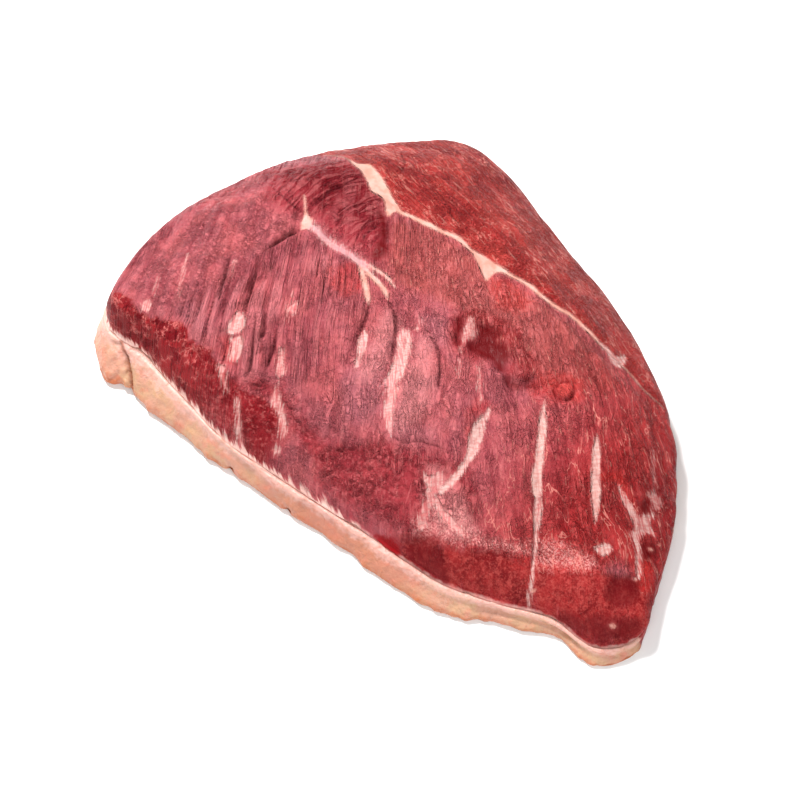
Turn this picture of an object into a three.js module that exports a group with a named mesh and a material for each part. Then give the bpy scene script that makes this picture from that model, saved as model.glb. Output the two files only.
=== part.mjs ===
// A whole raw picanha (rump cap), lying fat side down as it comes from the butcher.
//
// The lean is one closed solid and the fat cap under it is another. Both are built from one plan outline:
// rows of points climb the sides of the lean and rings of points close its top, while the fat cap takes the
// same outline, spreads out from under the lean and ends in the flat patch that the cut rests on.
//
// Millimetres, +Z up, +X along the long fat edge. The outline is drawn from the cut's near left corner,
// and the group is moved at the end so that the origin is the middle of the underside.
import * as THREE from "three";
import { ImprovedNoise } from "three/addons/math/ImprovedNoise.js";

// ---- Driving sizes ----
const CROWN = 49; // height of the thickest part above the board
const TIP = { at: [281, 38.5], reach: 155, drop: 20 }; // the thin tip: full thickness is this far from it
const FAR_SLOPE = { start: 131, end: 204, lean: 0.12, drop: 6.5 }; // the second muscle falls to the far edge
const FAT_THICK_LEFT = 16; // fat cap under the thick end
const FAT_THIN_PER_MM = 0.036; // and how fast it thins towards the tip
const LAYER_GAP = 0.3; // clear space between the lean and its fat cap

// Where the lean meets the fat, seen from above.
const OUTLINE = [
  [8.5, 26.5], [32, 23.5], [60, 17], [89.5, 10.5], [122, 9.5], [160, 10.5], [197.5, 10], [222, 16],
  [246.5, 24.5], [268, 24.5], [279, 37.5], [273, 59], [262.5, 90], [239.5, 124.5], [202.5, 153.5],
  [145.5, 178.5], [110, 192.5], [81, 196.5], [50, 172], [24.5, 142], [7.5, 105.5], [0, 65],
];

// Sizes that change along the near edge: pairs of distance along X and value there.
const NEAR = {
  rise: [[0, 16], [56, 17], [103, 18], [197, 18], [235, 14], [281, 8.5]], // height of the cut face
  inset: [
    [0, 4], [47, 5.5], [103, 10.5], [132, 12], [169, 12], [202, 14], [238, 13], [258, 7.5], [281, 5.5],
  ], // how far its top leans in
  spread: [
    [0, 4], [10, 8.5], [22.5, 16], [32, 14], [47, 12], [71.5, 8.2], [105, 5.5], [141, 7.2], [178.5, 8.8],
    [212, 8], [224, 4.5], [237, 5.5], [256, 2], [270, 5.5], [285, 3],
  ], // how far the fat runs out past the lean
  bulge: [[0, 0.8]],
  shoulder: 51, // how far in from the edge the top has risen to its crown
};
// The same sizes on the far sides.
const FAR = {
  rise: [[0, 14], [226, 13], [281, 8.5]],
  inset: [[0, 2]],
  spread: [[0, 1]],
  bulge: [[0, 2.8]],
  shoulder: 36,
};

// Seams between muscles and pale streaks in the surface: a path, how far it sinks and how wide it is.
const LONG_SEAM = [
  [43, 158], [57.5, 150.5], [78, 139], [95, 135.5], [117.5, 135.5], [141, 133.5], [176, 130.5],
  [207.5, 129], [246, 125],
];
const SHORT_SEAM = [[49, 109], [60, 104.5], [79, 101.5], [97, 99.5], [113, 97], [128, 87.5]];
const SEAMS = [
  { path: LONG_SEAM, depth: 1.8, width: 4.5 },
  { path: SHORT_SEAM, depth: 2.4, width: 5 },
  { path: [[28, 62], [43, 75], [52.5, 91], [59, 102.5]], depth: 2.2, width: 4 }, // crease left of the short seam
  { path: [[96, 99.5], [105, 91], [111, 82.5]], depth: 1.2, width: 3 }, // fork of the short seam
  { path: [[111, 84.5], [120.5, 64], [125, 52.5]], depth: 2.2, width: 4 },
  { path: [[130.5, 92], [135.5, 73.5], [141, 55.5], [146.5, 45]], depth: 2.4, width: 5 },
  { path: [[64, 56.5], [71.5, 41.5], [79, 28]], depth: 1.5, width: 4 },
  { path: [[92, 49], [101.5, 28], [113, 17]], depth: 1.7, width: 4 },
  { path: [[178.5, 77], [185, 52.5], [184, 32]], depth: 1.7, width: 4.5 },
  { path: [[197.5, 89.5], [208.5, 68.5], [224.5, 45], [237, 22.5]], depth: 2, width: 4.5 },
  { path: [[223, 90], [233, 73.5], [244.5, 56.5]], depth: 1.2, width: 4 },
  { path: [[150.5, 111], [161.5, 99.5], [167, 86.5]], depth: 2.4, width: 7 }, // smooth hollow in the middle
];
const SEAM_FADE = 0.18; // share of a seam's length over which it fades in and out
const SEAM_CLEAR = 6; // seams sink to their depth this far in from the edge

// Bundles of fibres fan out from a point beyond the far left corner and swell the surface.
const FIBRE_FAN = { centre: [-88, 379], radius: 395 };
const BUNDLE = { across: 6.5, along: 45, swell: 2.1, seed: 3.5 };
const LUMPS = { span: 36, height: 1.5, seed: 1 }; // the slow rise and fall of the whole top
const FAT_LUMPS = { span: 8.5, height: 0.9, seed: 5, slide: 6 }; // slide moves them from row to row
const FOLD = { top: 17, foot: 31, width: 2.8, depth: 3.4 }; // crease where the fat folds round the left corner
const LEDGE = 0.7; // the fat shows this much beyond the foot of the lean
const FLOOR_INSET = 5.5; // the fat rounds under by this much before it touches the board

// ---- How finely it is divided ----
const RINGS = 28; // rings of the top, each with eight more points than the last
const SIDES = 8;
const RIM_POINTS = RINGS * SIDES;
const EVENING = 200; // passes that even out the rings, so that they reach into the tip squarely
const WALL_STEPS = [0, 0.12, 0.32, 0.55, 0.78, 1];
const WALL_CURVE = 1.4; // above 1 the wall stands steep at its foot and leans in above
// Rows down the fat: the share of its height and of its spread reached at each.
const FAT_STEPS = [
  { down: 0, out: 0 },
  { down: 0.1, out: 0.3 },
  { down: 0.38, out: 0.62 },
  { down: 0.66, out: 0.92 },
  { down: 0.86, out: 1 },
  { down: 1, out: 0.82 },
];

// ---- Helpers ----
const { clamp, lerp } = THREE.MathUtils;
const perlin = new ImprovedNoise();
const noise = (x, y, { span, height, seed }) =>
  height * perlin.noise(x / span + seed, y / span - seed, seed + 0.5);

function smoothstep(from, to, x) {
  const t = clamp((x - from) / (to - from), 0, 1);
  return t * t * (3 - 2 * t);
}

/** Value of a profile, a list of [x, value], eased between its pairs. */
function along(profile, x) {
  const next = profile.findIndex(([end]) => x <= end);
  if (next === 0) return profile[0][1];
  if (next < 0) return profile[profile.length - 1][1];
  const [x0, v0] = profile[next - 1];
  const [x1, v1] = profile[next];
  return lerp(v0, v1, smoothstep(x0, x1, x));
}

/** Evenly spaced points of a smooth curve through the given ones. */
function smoothPath(points, count, closed) {
  const through = points.map(([x, y]) => new THREE.Vector3(x, y, 0));
  const curve = new THREE.CatmullRomCurve3(through, closed, "centripetal");
  return curve.getSpacedPoints(count).slice(0, closed ? count : count + 1);
}

/** Distance from a point to a path, with the nearest point's height and how far along it lies, from 0 to 1. */
function toPath(path, x, y) {
  let best = { distance: Infinity };
  for (let i = 1; i < path.length; i++) {
    const a = path[i - 1];
    const [ux, uy] = [path[i].x - a.x, path[i].y - a.y];
    const t = clamp(((x - a.x) * ux + (y - a.y) * uy) / (ux * ux + uy * uy), 0, 1);
    const distance = Math.hypot(x - a.x - t * ux, y - a.y - t * uy);
    if (distance >= best.distance) continue;
    best = { distance, share: (i - 1 + t) / (path.length - 1), z: lerp(a.z, path[i].z, t) };
  }
  return best;
}

/** A closed mesh from rows of points round the cut, each row above the last, and a cap at either end. */
function closedRows(rows, lowCap, highCap) {
  const positions = rows.flat().flatMap((p) => p.toArray());
  const index = [];
  const n = RIM_POINTS;
  for (let r = 1; r < rows.length; r++)
    for (let i = 0; i < n; i++) {
      const j = (i + 1) % n;
      const [a, b, c, d] = [(r - 1) * n + i, (r - 1) * n + j, r * n + i, r * n + j];
      index.push(a, b, d, a, d, c);
    }
  lowCap(positions, index, 0);
  highCap(positions, index, (rows.length - 1) * n);
  const geometry = new THREE.BufferGeometry();
  geometry.setAttribute("position", new THREE.Float32BufferAttribute(positions, 3));
  geometry.setIndex(index);
  geometry.computeVertexNormals();
  return geometry;
}

/** A flat cap over one row, facing up or down. */
const flatCap = (row, up) => (positions, index, start) => {
  const flat = row.map((p) => new THREE.Vector2(p.x, p.y));
  for (const [a, b, c] of THREE.ShapeUtils.triangulateShape(flat, []))
    index.push(...(up ? [a, b, c] : [a, c, b]).map((k) => start + k));
};

// ---- The plan outline, and what depends on the side of the cut ----
const foot = smoothPath(OUTLINE, RIM_POINTS, true);
const outward = foot.map((_, i) => {
  const before = foot[(i + RIM_POINTS - 1) % RIM_POINTS];
  const after = foot[(i + 1) % RIM_POINTS];
  return new THREE.Vector3(after.y - before.y, before.x - after.x, 0).normalize();
});
const nearness = outward.map((n) => smoothstep(-0.25, 0.45, -n.y)); // 1 on the near edge, 0 on the far sides
const isNear = (i) => nearness[i % RIM_POINTS] > 0.5;
const bySide = (i, size) => lerp(along(FAR[size], foot[i].x), along(NEAR[size], foot[i].x), nearness[i]);
const layerHeight = (x) => FAT_THICK_LEFT - FAT_THIN_PER_MM * x; // where fat meets lean

// ---- The lean ----
const seams = SEAMS.map((seam) => ({ ...seam, curve: smoothPath(seam.path, seam.path.length * 4, false) }));

/** How far the seams, creases and streaks sink the surface at a point. */
function sunk(x, y) {
  const depths = seams.map(({ curve, depth, width }) => {
    const { distance, share } = toPath(curve, x, y);
    const fade = smoothstep(0, SEAM_FADE, share) * smoothstep(1, 1 - SEAM_FADE, share);
    return depth * Math.exp(-((distance / width) ** 2)) * fade;
  });
  return Math.max(...depths);
}

/** Height of the top surface away from the edges. */
function crown(x, y) {
  const full = smoothstep(0, TIP.reach, Math.hypot(x - TIP.at[0], y - TIP.at[1]));
  const beyondSeam = smoothstep(FAR_SLOPE.start, FAR_SLOPE.end, y + FAR_SLOPE.lean * x);
  const [fromX, fromY] = [x - FIBRE_FAN.centre[0], y - FIBRE_FAN.centre[1]];
  const across = (Math.atan2(fromY, fromX) * FIBRE_FAN.radius) / BUNDLE.across;
  const bundles = perlin.noise(across, Math.hypot(fromX, fromY) / BUNDLE.along, BUNDLE.seed);
  const swell = BUNDLE.swell * bundles * (1 - beyondSeam);
  return CROWN - TIP.drop * (1 - full) - FAR_SLOPE.drop * beyondSeam + noise(x, y, LUMPS) + swell;
}

/** Rows of points up the side of the lean, from its foot to the start of its top. */
function leanWall() {
  return WALL_STEPS.map((h) =>
    foot.map((p, i) => {
      const offset = bySide(i, "bulge") * Math.sin(Math.PI * h) - bySide(i, "inset") * h ** WALL_CURVE;
      const q = p.clone().addScaledVector(outward[i], offset);
      q.z = layerHeight(p.x) + LAYER_GAP + bySide(i, "rise") * h;
      return q;
    }),
  );
}

/** The near and the far part of the top row of the wall, as two open paths that share their ends. */
function rimSides(rim) {
  const farStart = rim.findIndex((_, i) => isNear(i) && !isNear(i + 1));
  const turned = [...rim.slice(farStart), ...rim.slice(0, farStart)];
  const farCount = rim.filter((_, i) => !isNear(i)).length + 1;
  return { near: [...turned.slice(farCount), turned[0]], far: turned.slice(0, farCount + 1) };
}

/** Share of the full height reached at a distance in from an edge. */
const risen = (inside, shoulder) => Math.sin((Math.min(inside / shoulder, 1) * Math.PI) / 2);

/** Triangles between the rings of the top, numbered from the rim in, with the middle as the last point. */
function ringTriangles() {
  const ringStart = [];
  let count = 0;
  for (let ring = RINGS; ring >= 0; ring--) {
    ringStart[ring] = count;
    count += ring * SIDES;
  }
  const at = (ring, j) => ringStart[ring] + (ring === 0 ? 0 : j % (ring * SIDES));
  const triangles = [];
  for (let ring = 1; ring <= RINGS; ring++)
    for (let side = 0; side < SIDES; side++)
      for (let k = 0; k < ring; k++) {
        const outer = side * ring + k;
        const inner = side * (ring - 1) + k;
        triangles.push([at(ring, outer), at(ring, outer + 1), at(ring - 1, inner)]);
        if (k < ring - 1) triangles.push([at(ring, outer + 1), at(ring - 1, inner + 1), at(ring - 1, inner)]);
      }
  return triangles;
}

/** Plan of the rings inside the rim, each point evened out to the middle of its neighbours. */
function evenedRings(rim, triangles) {
  const middle = rim.reduce((sum, p) => sum.add(p), new THREE.Vector3()).divideScalar(rim.length);
  const points = [...rim];
  for (let ring = RINGS - 1; ring > 0; ring--)
    for (let j = 0; j < ring * SIDES; j++) {
      const opposite = rim[Math.round((j * RINGS) / ring) % RIM_POINTS];
      points.push(middle.clone().lerp(opposite, ring / RINGS));
    }
  points.push(middle);
  const neighbours = points.map(() => new Set());
  for (const [a, b, c] of triangles) {
    neighbours[a].add(b).add(c);
    neighbours[b].add(a).add(c);
    neighbours[c].add(a).add(b);
  }
  for (let pass = 0; pass < EVENING; pass++)
    for (let i = RIM_POINTS; i < points.length; i++) {
      const around = [...neighbours[i]];
      points[i].set(0, 0, 0);
      around.forEach((k) => points[i].addScaledVector(points[k], 1 / around.length));
    }
  return points.slice(RIM_POINTS);
}

/** The top of the lean: rings from the last wall row in to the middle, raised to the crown. */
const domeCap = (rim) => (positions, index, start) => {
  const sides = rimSides(rim);
  const triangles = ringTriangles();
  const inner = positions.length / 3;
  for (const { x, y } of evenedRings(rim, triangles)) {
    const near = toPath(sides.near, x, y);
    const far = toPath(sides.far, x, y);
    const edge = lerp(near.z, far.z, near.distance / (near.distance + far.distance));
    const share = risen(near.distance, NEAR.shoulder) * risen(far.distance, FAR.shoulder);
    const seamShare = smoothstep(0, SEAM_CLEAR, Math.min(near.distance, far.distance));
    positions.push(x, y, edge + (crown(x, y) - edge) * share - sunk(x, y) * seamShare);
  }
  const place = (i) => (i < RIM_POINTS ? start + i : inner + i - RIM_POINTS);
  for (const triangle of triangles) index.push(...triangle.map(place));
};

function leanGeometry() {
  const rows = leanWall();
  return closedRows(rows, flatCap(rows[0], false), domeCap(rows[rows.length - 1]));
}

// ---- The fat cap ----
/** Rows down the side of the fat, from under the foot of the lean to the edge of the flat patch below. */
function fatRows() {
  return FAT_STEPS.map(({ down, out }, row) =>
    foot.map((p, i) => {
      const onTop = row === 0;
      const onFloor = row === FAT_STEPS.length - 1;
      const foldAt = lerp(FOLD.top, FOLD.foot, down);
      const fold = FOLD.depth * Math.exp(-(((p.x - foldAt) / FOLD.width) ** 2)) * nearness[i];
      const lumps = noise(p.x, p.y - FAT_LUMPS.slide * down, FAT_LUMPS) * lerp(0.5, 1.3, nearness[i]);
      const reach = LEDGE + bySide(i, "spread") * out + (onTop ? 0 : lumps - fold);
      const q = p.clone().addScaledVector(outward[i], reach - (onFloor ? FLOOR_INSET : 0));
      q.z = layerHeight(p.x) * (1 - down);
      return q;
    }),
  );
}

function fatGeometry() {
  const rows = fatRows().reverse();
  return closedRows(rows, flatCap(rows[0], false), flatCap(rows[rows.length - 1], true));
}

// ---- The cut, assembled ----
const leanRed = new THREE.MeshStandardMaterial({ color: 0xa8404a, roughness: 0.42, metalness: 0 });
const fatCream = new THREE.MeshStandardMaterial({ color: 0xe9c9ae, roughness: 0.5, metalness: 0 });

function part(name, geometry, material) {
  const mesh = new THREE.Mesh(geometry, material);
  mesh.name = name;
  return mesh;
}

const picanha = new THREE.Group();
picanha.add(part("lean", leanGeometry(), leanRed), part("fat_cap", fatGeometry(), fatCream));
const box = new THREE.Box3().setFromObject(picanha);
picanha.position.set(-(box.min.x + box.max.x) / 2, -(box.min.y + box.max.y) / 2, -box.min.z);

export default picanha;
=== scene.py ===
"""A whole raw picanha: red lean with pale seams, silver skin and fibre relief, lying on its cap of fat.

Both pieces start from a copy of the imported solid, are divided finely and then carved by functions of the
plan position: fibre coordinates, distances to traced seams and streaks, and seeded noise. The same
distances are kept as attributes, and the materials read them, so colour and relief stay together.
"""

import math
from types import SimpleNamespace

import bmesh
import bpy
import numpy as np
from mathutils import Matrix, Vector, noise


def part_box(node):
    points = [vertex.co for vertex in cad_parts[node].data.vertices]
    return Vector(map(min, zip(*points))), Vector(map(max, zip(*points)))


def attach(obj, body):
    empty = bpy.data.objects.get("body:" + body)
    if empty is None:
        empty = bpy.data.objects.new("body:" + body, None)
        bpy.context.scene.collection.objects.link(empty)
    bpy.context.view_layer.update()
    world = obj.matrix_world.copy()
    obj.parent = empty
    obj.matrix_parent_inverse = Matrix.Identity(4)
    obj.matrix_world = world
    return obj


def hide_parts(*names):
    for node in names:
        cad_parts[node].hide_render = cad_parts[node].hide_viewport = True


bl_info = {
    "name": "Raw Picanha",
    "version": (1, 0, 0),
    "blender": (4, 5, 0),
    "location": "3D View > Sidebar > Picanha",
    "description": "Models a whole raw picanha, its lean and its cap of fat",
    "category": "Object",
}

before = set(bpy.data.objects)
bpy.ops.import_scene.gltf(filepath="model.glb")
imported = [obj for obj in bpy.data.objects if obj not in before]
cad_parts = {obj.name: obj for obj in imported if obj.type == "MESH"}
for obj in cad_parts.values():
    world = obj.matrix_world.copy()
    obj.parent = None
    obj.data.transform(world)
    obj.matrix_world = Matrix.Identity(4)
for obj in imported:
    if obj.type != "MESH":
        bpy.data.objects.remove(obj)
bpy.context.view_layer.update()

MM = 0.001

# ---- Traced shapes, in millimetres of the frame, seen from above ----
# Where the lean meets the fat, from the far corner round by the thick left end and the tip.
FOOT = [
    (-58.8, 97), (-89.8, 72.5), (-115.3, 42.5), (-132.3, 6), (-139.8, -34.5), (-131.3, -73),
    (-107.8, -76), (-79.8, -82.5), (-50.3, -89), (-17.8, -90), (20.2, -89), (57.7, -89.5), (82.2, -83.5),
    (106.7, -75), (128.2, -75), (139.2, -62), (133.2, -40.5), (122.7, -9.5), (99.7, 25), (62.7, 54),
    (5.7, 79), (-29.8, 93),
]
FOOT_LENGTH = 780  # about the way round it
# The seam of pale fat that parts the far muscle from the rest.
LONG_SEAM = [
    (-102, 49), (-93.5, 48.5), (-86, 46.5), (-78.5, 45.5), (-73.5, 44.5), (-67.5, 40.5), (-60, 36.5),
    (-53, 32.5), (-47.5, 33), (-41.5, 34), (-33, 33.5), (-26, 35), (-20, 36.5), (-15, 35), (-9.5, 33.5),
    (-2, 32.5), (4, 34), (9.5, 34), (18.5, 34.5), (26.5, 32.5), (35.5, 32), (41, 33), (49.5, 32.5),
    (61.5, 32), (72.5, 32), (83, 30), (92.5, 31.5),
]
SHORT_SEAM = [
    (-78, 4.5), (-75, 4), (-68.5, 2.5), (-62.5, 1.5), (-57, 1.5), (-51.5, 1.5), (-46, 0), (-40, -1.5),
    (-34, -2.5),
]
# Upper edge of the cut near face, from the left end to the tip.
CUT_EDGE = [
    (-134.5, -65), (-121.5, -66.5), (-114, -68.5), (-102, -66), (-91, -63.5), (-86.5, -68.5),
    (-74.5, -68), (-67, -72), (-55, -74.5), (-42.5, -73), (-37, -72.5), (-25, -76.5), (-13.5, -81),
    (1.5, -86), (37.5, -85.5), (46, -82), (58.5, -79.5), (69.5, -74.5), (80.5, -68), (94.5, -66),
    (108, -57.5), (120, -50), (126.5, -47),
]
# Upper edge of the plum skin above the cut face.
PLUM_EDGE = [
    (-55, -73), (-46, -66), (-37, -66), (-23, -72), (-8, -72.5), (3.5, -67), (10, -62), (19, -60),
    (28.5, -55.5), (39, -52.5), (46.5, -52.5), (58.5, -60), (70, -74),
]

# Pale fat that runs along a path, and the glints, which are painted highlights drawn the same way: path,
# half width in the middle, and how solid and white it is.
SEAMS = {
    "long_seam": (LONG_SEAM, 1.0, 1),
    "long_seam_left": ([(-56, 33.5), (-50, 32.5), (-41.5, 34), (-30, 34.5), (-20, 36), (-9, 34)], 1.2, 1),
    "short_seam": (SHORT_SEAM, 1.6, 0.85),
    "short_seam_upper_thread": ([
        (-76, 6), (-68, 4.6), (-60, 3.6), (-52, 3.4), (-45, 2.6), (-37, 1.5),
    ], 0.4, 0.6),
    "short_seam_lower_thread": ([(-76, 2.6), (-69, 0.6), (-62, -0.2), (-54, 0)], 0.4, 0.5),
    "short_seam_tail": ([(-88, 15), (-85, 12), (-82, 8), (-79, 5)], 0.5, 0.95),
    "fork_down": ([(-47, 0), (-42, -4), (-37.5, -8), (-33, -12.5), (-29.5, -16)], 1.3, 0.92),
    "fork_right": ([(-49, 2), (-41.5, 1.5), (-33.5, 1), (-26, -1.5)], 0.8, 0.88),
    "fork_middle": ([(-44, -0.5), (-37, -3), (-30, -5), (-25, -8.5)], 1.3, 0.92),
    "big_strand_left": ([(-2, -31), (-1.5, -38), (-2.5, -45)], 0.5, 0.8),
    "big_strand_right": ([(3.5, -36), (1.5, -39), (0.5, -42.5), (0, -47)], 0.5, 0.8),
    "big_strand_top": ([(-9, -7.5), (-6.5, -9), (-6.5, -12.5), (-8, -17)], 0.7, 0.5),
    "hollow_tail_left": ([(17.5, -15), (22, -23)], 0.7, 0.4),
    "hollow_tail_right": ([(25, -13), (32.5, -22), (35.5, -27)], 0.6, 0.4),
    "star_upper_thread": ([(102, 7), (106, 1), (110, -4), (114, -11), (116, -17)], 0.45, 0.4),
    "left_thread_long": ([(-113, -36), (-111, -39.5), (-106, -49), (-102.5, -56)], 0.6, 0.35),
    "left_thread_short": ([(-90, -31), (-87, -39)], 0.6, 0.3),
    "left_thread_low": ([(-117, -52), (-113, -60)], 0.5, 0.3),
    # glints: painted highlights, small spots drawn as solid pale fat
    "glint_by_the_star": ([(126, -45.5), (127.5, -44.5)], 0.5, 1),
    "glint_low": ([(129.5, -67.5), (131.5, -66.5)], 0.6, 1),
    "glint_side": ([(124, -30), (125.5, -28.5)], 0.4, 1),
    "glint_facet": ([(95, -73.5), (96.5, -72.5)], 0.4, 1),
    "middle_thread_high": ([(-60, -29), (-57, -37), (-53, -43)], 0.5, 0.3),
}
# Pale fat in the form of a patch: outline and how solid and white it is.
PATCHES = {
    "seam_patch": ([
        (-89, 47.5), (-85, 46.5), (-81, 46.5), (-77.5, 49.5), (-72, 47), (-67, 45), (-61, 41.5),
        (-56, 38), (-51, 35.5), (-48.5, 33), (-50, 30.5), (-50.5, 27), (-52.5, 27.5), (-57, 32.5),
        (-61, 34.5), (-64.5, 34), (-68, 36), (-71.5, 39), (-75, 41), (-79, 42.5), (-84, 44.5),
    ], 1),
    "wedge": ([
        (-11, 35.5), (-5, 35.5), (0.5, 35.5), (6.5, 35.5), (7, 34), (3.5, 31), (3.5, 24.5), (0, 26),
        (-5, 29.5), (-9, 32),
    ], 1),
    "tendon": ([
        (7.5, 3.4), (8, 5.6), (10.4, 5.1), (13.6, 2.9), (15.3, -0.4), (14.9, -2.7), (13.8, -4.8),
        (14.4, -9), (15.6, -12), (14.6, -12), (13.4, -8.8), (12, -4.9), (10, -0.7),
    ], 0.5),
    "seam_star": ([
        (54, 32.5), (60, 33.5), (65.5, 34.5), (67, 39), (69, 38.5), (70, 31), (67, 29), (62, 31),
        (58, 31.5),
    ], 0.75),
    "short_seam_node": ([(-83, 9.5), (-79.5, 7.5), (-76.5, 6.5), (-75, 3), (-77.5, 0), (-80, 2.5)], 0.9),
    "big_streak": ([
        (-11, -16.5), (-10, -21), (-7.5, -25.5), (-5.5, -30), (-4, -34.5), (-3, -39.5), (-3, -43.5),
        (-1, -42.5), (1.5, -44), (3.5, -37), (1, -30.5), (-1.5, -24.5), (-4.5, -19.5), (-6.5, -16.5),
        (-9, -16),
    ], 0.7),
    "big_streak_low": ([
        (-1, -42), (1.5, -45), (3, -49), (5, -53), (9, -56.5), (13, -59), (13.5, -57), (10.5, -53.5),
        (8, -49.5), (6, -45.5), (4.5, -41),
    ], 0.62),
    "left_of_big": ([
        (-24, -26.5), (-20.5, -28.5), (-18.5, -33), (-17, -37.5), (-15.5, -41.5), (-16.5, -44),
        (-18.5, -39.5), (-20.5, -36), (-23, -31.5),
    ], 0.72),
    "branch": ([
        (40, -24), (41.5, -28), (42.5, -32), (44.5, -36), (46, -41), (47, -45.5), (46.5, -49.5),
        (47, -55), (46, -60), (44.5, -65), (42.5, -66), (43, -60), (44, -54), (44, -48), (42.5, -44.5),
        (40.5, -41.5), (39.5, -38), (39, -34), (39.5, -29),
    ], 0.8),
    "fork_patch": ([
        (32.5, -63), (36, -62.5), (38.5, -59.5), (40.5, -58.5), (42, -61), (42.5, -67), (41, -70),
        (38.5, -69), (37.5, -66.5), (34.5, -65),
    ], 0.55),
    "branch_left": ([
        (40, -68), (39.5, -73), (40.5, -77), (43, -81), (46, -79), (44, -74), (43.5, -69),
    ], 0.4),
    "branch_right": ([
        (43, -67), (48, -70), (54, -71), (60, -72.5), (63, -75), (58, -74.5), (52, -74), (47, -72.5),
        (43.5, -70),
    ], 0.5),
    "long_streak": ([
        (56, -8.5), (59.5, -12.5), (64, -18.5), (66, -22.5), (69.5, -28.5), (72.5, -33.5), (75.5, -38.5),
        (78, -43), (76.5, -44.5), (73, -42.5), (70, -38), (67.5, -32), (64.5, -26.5), (61, -20.5),
        (58, -15),
    ], 0.84),
    "long_streak_low": ([
        (75, -41.5), (78.5, -43), (82, -48.5), (85, -54), (88, -59.5), (91.5, -66.5), (95, -73),
        (97.5, -77), (95.5, -77), (92, -70), (88.5, -63.5), (85, -58), (81, -51.5), (77, -45.5),
    ], 0.72),
    "thin_streak": ([
        (82, -8.5), (86, -11.5), (89.5, -16.5), (93, -22), (96.5, -26.5), (99.5, -31.5), (102, -38),
        (98.5, -35), (94.5, -30.5), (91, -25.5), (87.5, -20), (84.5, -14.5),
    ], 0.84),
    "star": ([
        (100, -18.5), (104, -20), (108, -21), (113, -22.5), (115.5, -20), (117.5, -16), (119, -21),
        (123, -22.5), (119.5, -26), (119.5, -30), (123.5, -34.5), (128, -42.5), (126.5, -43.5),
        (122, -36.5), (118, -32.5), (115.5, -31.5), (115, -28), (111.5, -25.5), (107.5, -24),
        (103.5, -22),
    ], 0.68),
    "star_patch": ([(111.5, -12), (112.5, -8), (115, -7.5), (117.5, -10), (117, -14), (114, -13)], 0.5),
    "tip_patch": ([(107, -46), (109.5, -42), (112.5, -41.5), (113.5, -44), (110.5, -47)], 0.75),
    "left_high": ([
        (-75, -48.5), (-71.5, -49), (-68.5, -52.5), (-68.5, -55.5), (-71, -58.5), (-74, -58), (-75, -53),
    ], 0.72),
    "left_low": ([
        (-71, -60), (-68, -57), (-64.5, -58.5), (-62, -63), (-62.5, -66), (-66, -67), (-68, -63),
    ], 0.65),
    "middle_thread": ([
        (-49, -53), (-46.5, -53), (-44, -57), (-41.5, -60), (-43, -62.5), (-46.5, -59.5),
    ], 0.5),
    "middle_streak": ([
        (-41.5, -64.5), (-38.5, -68), (-35, -70.5), (-30.5, -74), (-26.5, -78.5), (-27.5, -81.5),
        (-30.5, -79.5), (-34, -75), (-38, -73.5), (-41, -71),
    ], 0.55),
    "cut_thread_left": ([
        (-69.5, -71.5), (-66, -70), (-63, -72.5), (-58, -78), (-61.5, -77), (-65, -75),
    ], 0.55),
    "cut_thread_right": ([
        (-54.5, -78), (-51.5, -78.5), (-45, -85.5), (-42.5, -89.5), (-45, -89.5), (-51, -82.5),
    ], 0.6),
    "cut_dot": ([(-30, -86), (-28, -84.5), (-26, -84.5), (-27, -86)], 0.5),
    "left_dot": ([(-116.5, -65), (-114, -62), (-111.5, -64), (-112, -67.5), (-114.5, -67.5)], 0.6),
    "middle_dot": ([(-56.5, -36.5), (-55.5, -32.5), (-53.5, -34.5), (-52.5, -39), (-55, -38.5)], 0.5),
}

# Soft zones of another colour or grain, and darker zones that are partly painted shade: an outline each.
CRINKLED = {
    "far_left": [
        (-128, -64), (-132, -33), (-130.5, -3.5), (-121, 20.5), (-87, 44), (-57.5, 34), (-40, 12),
        (-51.5, -3), (-77, -2), (-84, -28.5), (-89, -46.5), (-110, -66.5),
    ],
    "plum": [(-60, -72), (-46, -62), (-20, -66), (5, -66), (30, -76), (20, -90), (-20, -86), (-50, -84)],
}
UPPER = {
    "lobe": [
        (-117.5, 24), (-100, 38), (-87, 46), (-66, 38), (-52, 30), (-39.5, 12), (-41, 5), (-57, 4),
        (-79, 6), (-96.5, 2),
    ],
}
FIBROUS = {
    "under_the_seam": [
        (-49.5, 28.5), (-30.5, 34.5), (-2, 30), (21, 30), (47.5, 28), (75, 24), (71.5, 6), (50, -4.5),
        (15, 4.5), (-6.5, 4), (-25.5, 1), (-38, 8),
    ],
}
FROST = {
    "above_the_facet": [
        (44.5, -68), (49.5, -70), (54, -66), (63.5, -69.5), (71.5, -68.5), (79.5, -63), (84.5, -60),
        (87, -63.5), (76.5, -70), (69, -73.5), (62, -76.5), (57, -79.5), (49, -79),
    ],
    "above_the_facet_right": [
        (87, -56), (92.5, -53.5), (103, -51), (110, -49.5), (111.5, -54.5), (99, -62.5), (92, -66),
    ],
    "left_of_the_fork": [(40, -80), (46, -76.5), (51.5, -78.5), (49.5, -82), (43.5, -84)],
    "above_the_fat": [(-62, -80), (-50, -84), (-38, -88), (-36, -92), (-50, -91), (-66, -86)],
}
PINK = {
    "right_of_big_streak": [
        (-3, -13), (3, -15), (9, -21), (15, -30), (20, -40), (19, -49), (13.5, -56), (8, -52.5),
        (5, -40), (0.5, -28.5), (-4, -20),
    ],
    "left_of_big_streak": [
        (-22, -14), (-13, -15), (-9, -26), (-6, -36), (-8, -46), (-15, -44), (-17, -36), (-20, -26),
    ],
    "round_the_fork": [
        (33, -60), (40, -57), (50, -60), (58, -64), (66, -70), (58, -76), (48, -78), (40, -72),
    ],
}
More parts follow.
